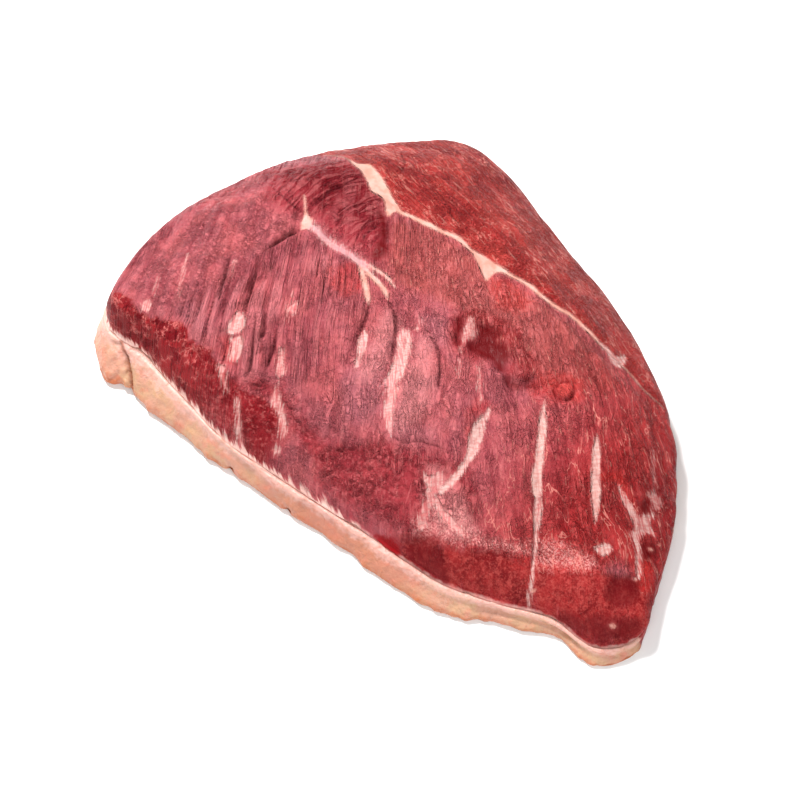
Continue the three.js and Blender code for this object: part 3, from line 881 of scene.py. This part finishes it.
def finished(bm, name, fields, vectors, material, node):
    """The object of a finished piece, with its fields as point attributes, standing for its CAD node."""
    bmesh.ops.scale(bm, vec=(MM,) * 3, verts=bm.verts)
    bm.normal_update()
    for face in bm.faces:
        face.smooth = face.normal.z > UNDERSIDE
    mesh = bpy.data.meshes.new(name)
    bm.to_mesh(mesh)
    bm.free()
    for key, values in fields.items():
        mesh.attributes.new(key, "FLOAT", "POINT").data.foreach_set("value", values.astype(np.float32))
    for key, columns in vectors.items():
        flat = np.stack(columns, axis=1).astype(np.float32).ravel()
        mesh.attributes.new(key, "FLOAT_VECTOR", "POINT").data.foreach_set("vector", flat)
    mesh.materials.append(material)
    piece = bpy.data.objects.new(name, mesh)
    bpy.context.scene.collection.objects.link(piece)
    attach(piece, "root")
    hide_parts(node)
    return piece


# ---- Materials ----
# In their functions, n holds the nodes of a material, and s the sockets that parts of the lean share.
def srgb(red, green, blue):
    """Linear colour from 0 to 255 screen values."""
    channels = [c / 255 for c in (red, green, blue)]
    return tuple(c / 12.92 if c <= 0.04045 else ((c + 0.055) / 1.055) ** 2.4 for c in channels)


class Nodes:
    """Adds and links the nodes of one material, from its tables of layers and pairs of colours."""

    def __init__(self, name, layers=None, pairs=None, shade=1.0):
        self.material = bpy.data.materials.new(name)
        self.material.use_nodes = True
        self.tree = self.material.node_tree
        self.shader = self.tree.nodes["Principled BSDF"]
        self.layers = layers
        self.pairs = pairs
        self.shade = shade

    def add(self, kind, inputs=(), **settings):
        made = self.tree.nodes.new("ShaderNode" + kind)
        for key, value in settings.items():
            setattr(made, key, value)
        for key, value in dict(inputs).items():
            self.set(made.inputs[key], value)
        return made

    def set(self, socket, value):
        if isinstance(value, bpy.types.NodeSocket):
            self.tree.links.new(value, socket)
        elif socket.type == "RGBA" and len(value) == 3:
            socket.default_value = (*value, 1)
        else:
            socket.default_value = value

    def finish(self, surface):
        """Links the shader's sockets, and sets those whose value is the same all over."""
        for key, value in surface.items():
            self.set(self.shader.inputs[key], value)
        return self.material

    def field(self, name):
        return self.add("Attribute", attribute_name=name).outputs["Fac"]

    def vector(self, name):
        return self.add("Attribute", attribute_name=name).outputs["Vector"]

    def place(self):
        """Object coordinates in millimetres."""
        return self.scaled(self.add("TexCoord").outputs["Object"], (1 / MM,) * 3)

    def scaled(self, vector, by):
        return self.add("VectorMath", {0: vector, 1: by}, operation="MULTIPLY").outputs[0]

    def shifted(self, vector, by):
        return self.add("VectorMath", {0: vector, 1: by}, operation="ADD").outputs[0]

    def noise(self, vector, size, detail=3.0, roughness=0.5, distortion=0.0):
        """Noise with spots of about the given size."""
        inputs = {"Vector": vector, "Scale": 1 / size, "Detail": detail}
        inputs |= {"Roughness": roughness, "Distortion": distortion}
        return self.add("TexNoise", inputs)

    def cloud(self, vector, size, *noise_settings):
        return self.noise(vector, size, *noise_settings).outputs["Fac"]

    def streaks(self, vector, width, length, *noise_settings):
        """Noise drawn out along the second direction of a vector."""
        return self.cloud(self.scaled(vector, (1 / width, 1 / length, 0)), 1, *noise_settings)

    def math(self, operation, a, b=0.0, clamp=False):
        return self.add("Math", {0: a, 1: b}, operation=operation, use_clamp=clamp).outputs[0]

    def times(self, a, b):
        return self.math("MULTIPLY", a, b)

    def plus(self, a, b):
        return self.math("ADD", a, b)

    def larger(self, a, b):
        return self.math("MAXIMUM", a, b)

    def rise(self, value, low, high, bottom=0.0, top=1.0):
        """Eased from bottom to top while value goes from low to high."""
        inputs = {"Value": value, "From Min": low, "From Max": high, "To Min": bottom, "To Max": top}
        return self.add("MapRange", inputs, interpolation_type="SMOOTHSTEP").outputs["Result"]

    def folded(self, cloud):
        """How far a noise is from its middle: 0 along winding lines."""
        return self.math("ABSOLUTE", self.math("SUBTRACT", cloud, 0.5))

    def edge(self, field, grain, ragged, soft):
        """1 inside a distance field and 0 outside, with an edge that grain makes ragged, in millimetres."""
        uneven = self.math("MULTIPLY_ADD", grain, ragged)
        uneven.node.inputs[2].default_value = -ragged / 2
        return self.rise(self.plus(field, uneven), -soft, soft)

    def zone(self, name, grain):
        """1 inside the named zone and 0 outside."""
        return self.edge(self.field(name), grain, *EDGES[name])

    def mix(self, factor, a, b):
        made = self.add("Mix", data_type="RGBA")
        for socket, value in zip((made.inputs[0], made.inputs[6], made.inputs[7]), (factor, a, b)):
            self.set(socket, value)
        return made.outputs[2]

    def tint(self, screen):
        """Linear colour of a screen colour, with the shade of this material."""
        return tuple(c * self.shade for c in srgb(*screen))

    def lay(self, name, mask, colour):
        """The colour, covered by that of the named layer where mask is 1."""
        strength, screen = self.layers[name]
        if strength != 1:
            mask = self.times(mask, strength)
        return self.mix(mask, colour, self.tint(screen))

    def pair(self, name, mask):
        """From the first to the second of the named pair of colours."""
        first, second = self.pairs[name]
        return self.mix(mask, self.tint(first), self.tint(second))

    def blend(self, factor, a, b):
        """The number a where factor is 0 and b where it is 1."""
        return self.add("Mix", {0: factor, 2: a, 3: b}, data_type="FLOAT").outputs[0]

    def bump(self, height, distance, under=None, strength=1.0):
        inputs = {"Height": height, "Distance": distance, "Strength": strength}
        if under is not None:
            inputs["Normal"] = under
        return self.add("Bump", inputs).outputs["Normal"]


def lean_noises(n):
    """The fields and noises that several parts of the lean's material read."""
    s = SimpleNamespace()
    s.place = n.place()
    s.fibre = n.vector("fibre")
    s.rim = n.vector("rim")
    s.beyond = n.rise(n.field("beyond"), 0.3, 0.7)
    s.tone = n.field("tone")
    s.coarse = n.rise(n.field("coarse"), 0, 1)
    s.blotch = n.cloud(n.shifted(s.place, (31, 7, 3)), 15)
    s.small_blotch = n.cloud(s.place, 4.5, 4)
    s.fine_blotch = n.cloud(n.shifted(s.place, (8, 3, 9)), 2, 3, 0.6)
    s.grain = n.cloud(s.place, 0.8, 3, 0.6)
    s.bundles = n.streaks(s.fibre, 5, 42)
    s.strands = n.streaks(s.fibre, 1.1, 13, 3, 0.55, 0.5)
    return s


def zone_colours(n, s, main_colour):
    """Broad colours, zone by zone."""
    # darker bands along the fibre bundles, painted shading of their soft ridges, and lighter patches, a
    # painted sheen
    colour = n.mix(n.rise(s.bundles, 0.36, 0.64), n.tint(SHADED_BUNDLE_COLOUR), main_colour)
    colour = n.lay("light_blotches", n.rise(s.blotch, 0.4, 0.68, 0, 0.6), colour)
    colour = n.lay("fibrous", n.zone("fibrous", s.small_blotch), colour)
    # the red of the right part, with painted shading along the bundles
    red = n.pair("red", n.rise(s.bundles, 0.36, 0.64))
    colour = n.mix(s.tone, colour, red)
    far = n.pair("far", n.rise(s.blotch, 0.35, 0.65))
    far = n.lay("far_right", s.tone, far)
    colour = n.mix(s.beyond, colour, far)
    s.upper = n.zone("upper", s.small_blotch)
    s.upper = n.times(s.upper, n.math("SUBTRACT", 1.0, s.beyond))
    parts = n.add("SeparateXYZ", {0: s.place})
    lobe = n.pair("lobe", n.rise(parts.outputs[1], 6, 24))
    colour = n.mix(n.times(s.upper, 0.92), colour, lobe)
    colour = n.lay("plum", n.zone("plum", s.small_blotch), colour)
    colour = n.lay("ruddy", n.zone("ruddy", s.small_blotch), colour)
    s.silver = n.zone("silver", s.small_blotch)
    colour = n.lay("silver", s.silver, colour)
    colour = n.lay("pink", n.zone("pink", s.small_blotch), colour)
    s.frost = n.zone("frost", s.fine_blotch)
    s.frost = n.times(s.frost, n.rise(s.grain, 0.43, 0.62, 0.15, 1.0))
    colour = n.lay("frost", s.frost, colour)
    s.scarlet = n.zone("scarlet", s.small_blotch)
    s.scarlet = n.times(s.scarlet, n.rise(s.tone, 0.6, 1.0, 0.45, 0.5))
    return n.lay("scarlet", s.scarlet, colour)


def wrinkles(n, s):
    """Wrinkles: noise folded at its middle, so that round ridges stand between narrow valleys."""
    s.crinkled = n.rise(n.field("crinkled"), -6, 6)
    drawn = n.folded(n.streaks(s.fibre, 2.6, 8.5, 3, 0.5, 1.0))
    cells = n.folded(n.cloud(s.place, 2.5, 3, 0.55, 1.2))
    long_lines = n.folded(n.streaks(s.fibre, 3.6, 55, 3, 0.5, 0.3))
    drawn = n.blend(n.rise(s.coarse, 0.3, 0.8), drawn, long_lines)
    s.wrinkle = n.blend(n.larger(n.times(s.crinkled, 0.8), s.beyond), drawn, cells)
    s.pinstripes = n.folded(n.streaks(s.fibre, 1.7, 26, 2, 0.5, 0.25))
    s.striped = n.times(n.rise(s.coarse, 0.2, 0.7), n.rise(s.crinkled, 0.9, 0.2))
    arcs = n.folded(n.streaks(n.vector("arc"), 2.8, 16, 2, 0.45, 0.5))
    s.wrinkle = n.blend(n.times(s.upper, 0.9), s.wrinkle, arcs)
    s.crossing = n.folded(n.cloud(n.shifted(s.place, (7, 1, 2)), 3.6, 4, 0.6, 1.6))
    s.where = n.cloud(n.shifted(s.place, (3, 11, 5)), 10, 2)
    s.busy = n.rise(s.where, 0.62, 0.38, 0.3, 1.0)


def fibre_colours(n, s, colour):
    """Painted highlights on the crests and painted shade in the valleys of the wrinkles, stripes of painted
    shade in the fine lines, hairs, strands with painted highlights and shade, specks and pits.
    """
    # painted shade in the wrinkles' valleys and painted highlights on their crests, on the same noise as
    # their bump
    valleys = n.times(n.rise(s.wrinkle, 0.026, 0.0), s.busy)
    valleys = n.larger(valleys, n.times(n.rise(s.crossing, 0.012, 0.0), 0.3))
    washed = n.rise(n.larger(s.tone, s.beyond), 0, 0.8, 0.22, 0.08)
    colour = n.lay("crests", n.times(n.rise(s.wrinkle, 0.05, 0.14), washed), colour)
    colour = n.lay("valleys", n.times(valleys, n.rise(s.tone, 0.0, 0.6, 0.46, 0.12)), colour)
    # painted shade in the fine lines, on the same noise as their bump
    stripe = n.times(n.rise(s.pinstripes, 0.09, 0.01), s.striped)
    colour = n.lay("stripes", n.times(stripe, n.rise(s.where, 0.6, 0.4, 0.1, 0.34)), colour)
    hairs = n.folded(n.streaks(s.fibre, 5.5, 22, 3, 0.5, 0.6))
    hair = n.times(n.rise(hairs, 0.011, 0.003), n.rise(s.where, 0.42, 0.56, 0.15, 0.7))
    colour = n.lay("hairs", n.times(hair, n.rise(n.larger(s.tone, s.beyond), 0.1, 0.6)), colour)
    # painted highlights and painted shade where the strands' bump rises and sinks
    colour = n.lay("light_strands", n.times(n.rise(s.strands, 0.54, 0.7), washed), colour)
    colour = n.lay("deep_strands", n.times(n.rise(s.strands, 0.46, 0.32), 0.2), colour)
    s.specks = n.times(n.rise(s.grain, 0.6, 0.74), 0.3)
    colour = n.lay("specks", s.specks, colour)
    s.pits = n.times(n.rise(s.grain, 0.4, 0.28), 0.3)
    return n.lay("pits", s.pits, colour)


def dash_colours(n, s, colour):
    """Pale dashes between the fibres and pale cracks beyond the long seam."""
    dashes = n.streaks(s.fibre, 0.9, 6, 1)
    long_dashes = n.streaks(s.fibre, 1.3, 15, 1)
    dashes = n.blend(s.beyond, dashes, long_dashes)
    dash = n.times(n.rise(dashes, 0.65, 0.73), n.rise(n.field("dashed"), 0, 1))
    colour = n.lay("dashes", dash, colour)
    cracks = n.folded(n.streaks(s.fibre, 6, 16, 4, 0.55, 0.5))
    crack = n.times(n.rise(cracks, 0.014, 0.003), n.rise(s.where, 0.44, 0.56))
    return n.lay("cracks", n.times(crack, n.times(s.beyond, 0.7)), colour)


def fold_colours(n, s, colour):
    """Painted shade in the grooves and painted highlights on their crowns, the nodule with a painted
    highlight in its ring of painted shade, painted shade in the folds, and the dark zones, painted shade
    over the hollow and below the bulge.
    """
    # painted shade in the carved grooves and painted highlights on their crowns
    groove = n.rise(n.math("ABSOLUTE", n.field("waves")), 0.11, 0.0)
    colour = n.lay("grooves", n.times(groove, n.rise(n.field("ridged"), 0.15, 0.6)), colour)
    crown = n.rise(n.math("ABSOLUTE", n.field("waves")), 0.22, 0.5)
    colour = n.lay("crowns", n.times(crown, n.rise(n.field("ridged"), 0.2, 0.8, 0, 0.42)), colour)
    # the nodule: painted shade in the moat round it, and its own scarlet brightened on its dome as a
    # painted highlight
    bead = n.field("bead")
    colour = n.lay("ring", n.times(n.rise(bead, -1.6, -0.5), n.rise(bead, 0.6, -0.3)), colour)
    colour = n.lay("bead", n.rise(bead, 0.0, 1.6), colour)
    # painted shade along the carved folds
    colour = n.lay("creases", n.zone("crease", s.fine_blotch), colour)
    # the dark zones: painted shade over the hollow and below the bulge, darker zones elsewhere
    s.dark = n.zone("dark", s.small_blotch)
    return n.lay("dark", s.dark, colour)


def cut_face(n, s, colour):
    """The cut near face: dark flesh, coarsely marbled at the thick end and smooth at the tip."""
    crisp = n.edge(n.field("cut"), s.small_blotch, 7, 1.0)
    hazy = n.edge(n.field("cut"), s.small_blotch, 7, 2.8)
    cut = n.times(n.blend(s.coarse, hazy, crisp), n.field("fleshy"))
    wobble = n.noise(s.place, 4, 5, 0.65).outputs["Color"]
    bent = n.shifted(s.place, n.scaled(wobble, (14, 14, 14)))
    cell = {"Vector": bent, "Scale": 1 / 6.5}
    chunk = n.add("TexVoronoi", cell).outputs["Color"]
    between = n.add("TexVoronoi", cell, feature="DISTANCE_TO_EDGE").outputs["Distance"]
    flesh = n.pair("chunks", n.rise(chunk, 0.2, 0.8))
    flesh = n.lay("flesh_blotches", n.rise(s.small_blotch, 0.5, 0.68, 0, 0.6), flesh)
    flesh = n.lay("flesh_shadows", n.rise(s.fine_blotch, 0.42, 0.3, 0, 0.7), flesh)
    smooth = n.pair("smooth", n.rise(s.blotch, 0.38, 0.6))
    smooth = n.lay("smooth_shadows", n.rise(s.small_blotch, 0.55, 0.35, 0, 0.5), smooth)
    smooth = n.lay("smooth_blotches", n.rise(s.fine_blotch, 0.45, 0.66, 0, 0.5), smooth)
    smooth = n.lay("smooth_specks", n.rise(s.grain, 0.5, 0.66, 0, 0.3), smooth)
    smooth = n.lay("smooth_pits", n.rise(s.grain, 0.48, 0.34, 0, 0.35), smooth)
    even = n.pair("even", n.rise(s.small_blotch, 0.4, 0.62))
    even = n.lay("even_blotches", n.rise(s.fine_blotch, 0.5, 0.66, 0, 0.6), even)
    chunky = n.rise(n.field("chunky"), 0, 1)
    flesh = n.mix(chunky, even, flesh)
    flesh = n.mix(n.rise(s.coarse, 0.0, 0.3), smooth, flesh)
    flesh = n.lay("flesh_pits", s.pits, flesh)
    flesh = n.lay("flesh_specks", s.specks, flesh)
    veins = n.times(n.rise(between, 0.1, 0.0), n.rise(s.small_blotch, 0.4, 0.6, 0.1, 1.0))
    flesh = n.lay("veins", n.times(veins, chunky), flesh)
    flesh = n.lay("flesh_dark", s.dark, flesh)
    flesh = n.lay("flesh_scarlet", s.scarlet, flesh)
    flesh = n.lay("flesh_frost", s.frost, flesh)
    return n.mix(cut, colour, flesh)


def pale_fat(n, s, colour):
    """Pale fat: pink and see-through in the streaks, solid cream in the seams and in the glints, which are
    painted highlights.
    """
    solid = n.field("solid")
    torn = n.streaks(s.fibre, 0.8, 7, 3, 0.6, 0.4)
    loose = n.math("SUBTRACT", 1.02, solid, True)
    halo = n.edge(n.plus(n.field("pale"), 0.2), torn, 4.0, 1.6)
    colour = n.lay("halo", halo, colour)
    ragged = n.times(n.math("SUBTRACT", torn, 0.5), n.times(loose, 13.0))
    field = n.plus(n.field("pale"), ragged)
    field = n.plus(field, n.times(n.math("SUBTRACT", s.grain, 0.5), 1.4))
    pale = n.rise(field, -0.7, 0.8)
    s.corrugated = n.streaks(s.fibre, 2.4, 1.0, 2)
    opaque = n.rise(solid, 0.2, 0.97, 0.35, 0.97)
    whole = n.rise(solid, 0.6, 1.0)
    opaque = n.times(opaque, n.blend(whole, n.rise(torn, 0.36, 0.6, 0.4, 1.0), 1.0))
    patchy = n.times(n.rise(s.corrugated, 0.62, 0.32), n.rise(solid, 0.9, 0.5, 0.0, 0.25))
    opaque = n.times(opaque, n.math("SUBTRACT", 1.0, patchy))
    cream = n.pair("cream", n.rise(s.small_blotch, 0.35, 0.65))
    rippled = n.pair("rippled", n.rise(s.corrugated, 0.36, 0.58))
    cream = n.mix(n.rise(solid, 0.8, 0.95), rippled, cream)
    cream = n.lay("silver_seam", s.silver, cream)
    tears = n.times(n.rise(torn, 0.55, 0.38), n.rise(solid, 1.0, 0.6, 0.0, 0.5))
    cream = n.lay("torn_seam", tears, cream)
    return n.mix(n.times(pale, opaque), colour, cream)


def fringe(n, s, colour):
    """Threads of fat that run up from the cap into the foot of the lean, and the blood on the fat."""
    parts = n.add("SeparateXYZ", {0: s.rim})
    around, height = parts.outputs[0], parts.outputs[2]
    lean_over = n.plus(around, n.times(height, 0.6))
    slanted = n.add("CombineXYZ", {0: lean_over, 2: height}).outputs[0]
    tufts = n.cloud(n.scaled(slanted, (1 / 4.5, 1, 1 / 20)), 1, 3, 0.6)
    hairs = n.cloud(n.scaled(slanted, (1 / 1.6, 1, 1 / 9)), 1, 3, 0.6, 0.4)
    fringed = n.rise(n.field("fringed"), 0, 1)
    reach = n.times(n.rise(tufts, 0.36, 0.64, 0.8, 6.0), n.rise(hairs, 0.34, 0.6, 0.4, 1.0))
    reach = n.times(reach, fringed)
    lifted = n.plus(height, n.rise(tufts, 0.3, 0.7, 5.0, -3.0))
    haze = n.times(n.rise(lifted, 6.0, 2.0), n.rise(hairs, 0.36, 0.62, 0.3, 0.95))
    colour = n.lay("haze", n.times(haze, fringed), colour)
    wisp = n.times(n.rise(hairs, 0.54, 0.66), n.rise(lifted, 6.0, 1.5, 0.0, 0.75))
    colour = n.lay("wisps", n.times(wisp, fringed), colour)
    rim_line = n.rise(n.plus(height, n.times(s.small_blotch, 3.0)), 3.2, 2.0)
    rim_line = n.times(rim_line, n.rise(fringed, 0.2, 0.8, 0.4, 1.0))
    thread = n.larger(n.rise(n.math("SUBTRACT", reach, height), -1.2, 1.6), rim_line)
    thread = n.times(thread, n.rise(height, 7.0, 1.0, 0.6, 0.95))
    colour = n.lay("threads", thread, colour)
    return n.lay("blood", n.zone("blood", s.small_blotch), colour)


def fine_relief(n, s):
    """Bumps finer than the mesh, stilled where the surface is calm."""
    lively = n.field("lively")
    normal = n.bump(n.times(s.strands, lively), 0.0004)
    creased = n.times(n.math("MINIMUM", s.wrinkle, 0.1), n.times(s.busy, lively))
    normal = n.bump(creased, 0.009, normal)
    lined = n.times(n.math("MINIMUM", s.pinstripes, 0.15), n.times(s.striped, lively))
    normal = n.bump(lined, 0.004, normal)
    crossed = n.times(n.math("MINIMUM", s.crossing, 0.05), n.times(s.busy, lively))
    normal = n.bump(crossed, 0.006, normal)
    normal = n.bump(n.times(s.grain, lively), 0.0003, normal)
    return n.bump(n.times(s.corrugated, n.field("rippling")), 0.0003, normal, 0.8)


def lean_material(settings):
    n = Nodes("lean_meat", LEAN_LAYERS, LEAN_PAIRS, MEAT_SHADE)
    s = lean_noises(n)
    colour = zone_colours(n, s, tuple(c * MEAT_SHADE for c in settings.lean_colour))
    wrinkles(n, s)
    for part in (fibre_colours, dash_colours, fold_colours, cut_face, pale_fat, fringe):
        colour = part(n, s, colour)
    gloss = n.cloud(s.place, 2.2)
    roughness = n.rise(gloss, 0.35, 0.7, settings.roughness + 0.1, settings.roughness - 0.1)
    linked = {"Base Color": colour, "Roughness": roughness, "Normal": fine_relief(n, s)}
    return n.finish(linked | LEAN_SURFACE)


def fat_material(settings):
    n = Nodes("fat", FAT_LAYERS)
    place = n.place()
    blotch = n.cloud(place, 9)
    small = n.cloud(place, 2.4, 4)
    grain = n.cloud(place, 0.7)
    down = n.field("down")
    spotted = n.rise(blotch, 0.35, 0.65)
    colour = n.mix(spotted, n.tint(FAT_BLOTCH_COLOUR), tuple(settings.fat_colour))
    colour = n.lay("flush", n.rise(n.cloud(n.shifted(place, (9, 4, 2)), 6), 0.5, 0.68), colour)
    colour = n.lay("flushed", n.field("flushed"), colour)
    colour = n.lay("lower", n.rise(n.plus(down, n.times(small, 0.6)), 0.8, 1.2), colour)
    colour = n.lay("upper", n.rise(n.plus(down, n.times(small, 0.6)), 0.62, 0.3), colour)
    colour = n.lay("film", n.rise(n.plus(n.field("skinned"), n.times(small, 0.6)), 0.6, 0.9), colour)
    colour = n.lay("pits", n.rise(grain, 0.38, 0.28), colour)
    # painted shade in the carved folds
    colour = n.lay("fold", n.rise(n.plus(n.field("fold"), n.times(small, 0.3)), 0.4, 1.1), colour)
    roughness = n.rise(small, 0.3, 0.7, 0.5, 0.34)
    normal = n.bump(n.cloud(n.shifted(place, (2, 9, 5)), 5, 3, 0.5, 0.6), 0.001)
    normal = n.bump(small, 0.0008, normal)
    normal = n.bump(grain, 0.00015, normal, 0.8)
    linked = {"Base Color": colour, "Roughness": roughness, "Normal": normal}
    return n.finish(linked | FAT_SURFACE)


def floor_material(settings):
    n = Nodes("studio_floor")
    paper = n.cloud(n.place(), 6, 2)
    light = tuple(settings.floor_colour)
    colour = n.mix(paper, tuple(c * PAPER_SHADE for c in light), light)
    return n.finish({"Base Color": colour, "Roughness": PAPER_ROUGHNESS})


# ---- Settings ----
class LeanSettings(bpy.types.PropertyGroup):
    lean_colour: bpy.props.FloatVectorProperty(
        name="Lean colour", description="Main colour of the red lean", subtype="COLOR", min=0, max=1,
        default=srgb(173, 88, 95),
    )
    roughness: bpy.props.FloatProperty(
        name="Roughness", description="Mean roughness of the moist surface", default=0.42, min=0.2, max=0.9,
        subtype="FACTOR",
    )


class FatSettings(bpy.types.PropertyGroup):
    fat_colour: bpy.props.FloatVectorProperty(
        name="Fat colour", description="Main colour of the cap of fat", subtype="COLOR", min=0, max=1,
        default=srgb(187, 135, 114),
    )


class StudioSettings(bpy.types.PropertyGroup):
    azimuth: bpy.props.FloatProperty(
        name="Azimuth", description="Camera's turn to the right of the front", subtype="ANGLE",
        default=math.radians(36),
    )
    elevation: bpy.props.FloatProperty(
        name="Elevation", description="Camera's angle above the floor", subtype="ANGLE",
        default=math.radians(57),
    )
    distance: bpy.props.FloatProperty(
        name="Distance", description="From the camera to the middle of the picture", unit="LENGTH",
        default=0.94,
    )
    lens: bpy.props.FloatProperty(
        name="Lens", description="Focal length on a 36 mm sensor", default=99, subtype="DISTANCE_CAMERA",
    )
    floor_colour: bpy.props.FloatVectorProperty(
        name="Floor colour", description="Pale studio floor", subtype="COLOR", min=0, max=1,
        default=(0.95, 0.95, 0.945),
    )


# ---- Operators ----
class PICANHA_OT_lean(bpy.types.Operator):
    """Models the red lean from its solid"""

    bl_idname = "picanha.lean"
    bl_label = "Lean"

    def execute(self, context):
        bm = divided_copy("lean", LEAN_CUTS, LEAN_EASE)
        x, y, z, facing = places(bm)
        f = lean_fields(x, y, z)
        relief = np.where(facing < STILL_UNDER, 0, lean_relief(x, y, f))
        move_out(bm, relief, "lean")
        fields = {name: f[name] for name in LEAN_FIELDS} | lean_masks(x, f)
        flat = x * 0
        vectors = {
            "arc": (f["arc_across"], f["arc_along"], flat),
            "fibre": (f["across"], f["along"], flat),
            "rim": (f["round"], f["inset"], f["rise"]),
        }
        material = lean_material(context.scene.picanha_lean)
        finished(bm, "picanha_lean", fields, vectors, material, "lean")
        return {"FINISHED"}


class PICANHA_OT_fat_cap(bpy.types.Operator):
    """Models the cap of fat under the lean from its solid"""

    bl_idname = "picanha.fat_cap"
    bl_label = "Fat cap"

    def execute(self, context):
        bm = divided_copy("fat_cap", FAT_CUTS, FAT_EASE)
        relief, fields = fat_relief(*places(bm))
        move_out(bm, relief, "fat_cap")
        material = fat_material(context.scene.picanha_fat)
        finished(bm, "picanha_fat_cap", fields, {}, material, "fat_cap")
        return {"FINISHED"}


def area_light(name, place, size, power):
    """A soft round light that looks at the middle of the floor."""
    light = bpy.data.lights.new(name, "AREA")
    light.shape = "DISK"
    light.size = size
    light.energy = power
    lamp = bpy.data.objects.new(name, light)
    bpy.context.scene.collection.objects.link(lamp)
    lamp.location = place
    lamp.rotation_euler = (-Vector(place)).to_track_quat("-Z", "Y").to_euler()


class PICANHA_OT_studio(bpy.types.Operator):
    """Sets the pale floor, the soft light and the camera"""

    bl_idname = "picanha.studio"
    bl_label = "Studio"

    def execute(self, context):
        settings = context.scene.picanha_studio
        bm = bmesh.new()
        bmesh.ops.create_grid(bm, x_segments=1, y_segments=1, size=FLOOR_HALF)
        mesh = bpy.data.meshes.new("floor")
        bm.to_mesh(mesh)
        bm.free()
        mesh.materials.append(floor_material(settings))
        floor = bpy.data.objects.new("floor", mesh)
        context.scene.collection.objects.link(floor)

        for name, light in LIGHTS.items():
            area_light(name, *light)
        world = bpy.data.worlds.new("studio")
        world.use_nodes = True
        background = world.node_tree.nodes["Background"]
        background.inputs["Color"].default_value = (1, 1, 1, 1)
        background.inputs["Strength"].default_value = ROOM_LIGHT
        context.scene.world = world
        context.scene.view_settings.view_transform = "Standard"

        azimuth, elevation = settings.azimuth, settings.elevation
        flat = math.cos(elevation)
        back = Vector((math.sin(azimuth) * flat, -math.cos(azimuth) * flat, math.sin(elevation)))
        camera = bpy.data.objects.new("camera", bpy.data.cameras.new("camera"))
        camera.data.lens = settings.lens
        camera.data.sensor_width = SENSOR_WIDTH
        camera.location = Vector(LOOK_AT) + back * settings.distance
        camera.rotation_euler = back.to_track_quat("Z", "Y").to_euler()
        context.scene.collection.objects.link(camera)
        context.scene.camera = camera
        return {"FINISHED"}


class PICANHA_PT_panel(bpy.types.Panel):
    """Lists the pieces of the picanha and their settings"""

    bl_label = "Picanha"
    bl_idname = "PICANHA_PT_panel"
    bl_space_type = "VIEW_3D"
    bl_region_type = "UI"
    bl_category = "Picanha"

    def draw(self, context):
        for operator, group in PIECES:
            self.layout.operator(operator.bl_idname)
            settings = getattr(context.scene, group)
            for name in settings.__annotations__:
                self.layout.prop(settings, name)


PIECES = (
    (PICANHA_OT_lean, "picanha_lean"),
    (PICANHA_OT_fat_cap, "picanha_fat"),
    (PICANHA_OT_studio, "picanha_studio"),
)
SETTINGS = {"picanha_lean": LeanSettings, "picanha_fat": FatSettings, "picanha_studio": StudioSettings}
CLASSES = (*SETTINGS.values(), *(operator for operator, _ in PIECES), PICANHA_PT_panel)


def register():
    for made in CLASSES:
        bpy.utils.register_class(made)
    for name, group in SETTINGS.items():
        setattr(bpy.types.Scene, name, bpy.props.PointerProperty(type=group))


def unregister():
    for name in SETTINGS:
        delattr(bpy.types.Scene, name)
    for made in reversed(CLASSES):
        bpy.utils.unregister_class(made)


def main():
    register()
    bpy.ops.picanha.lean()
    bpy.ops.picanha.fat_cap()
    bpy.ops.picanha.studio()


if __name__ == "__main__":
    main()
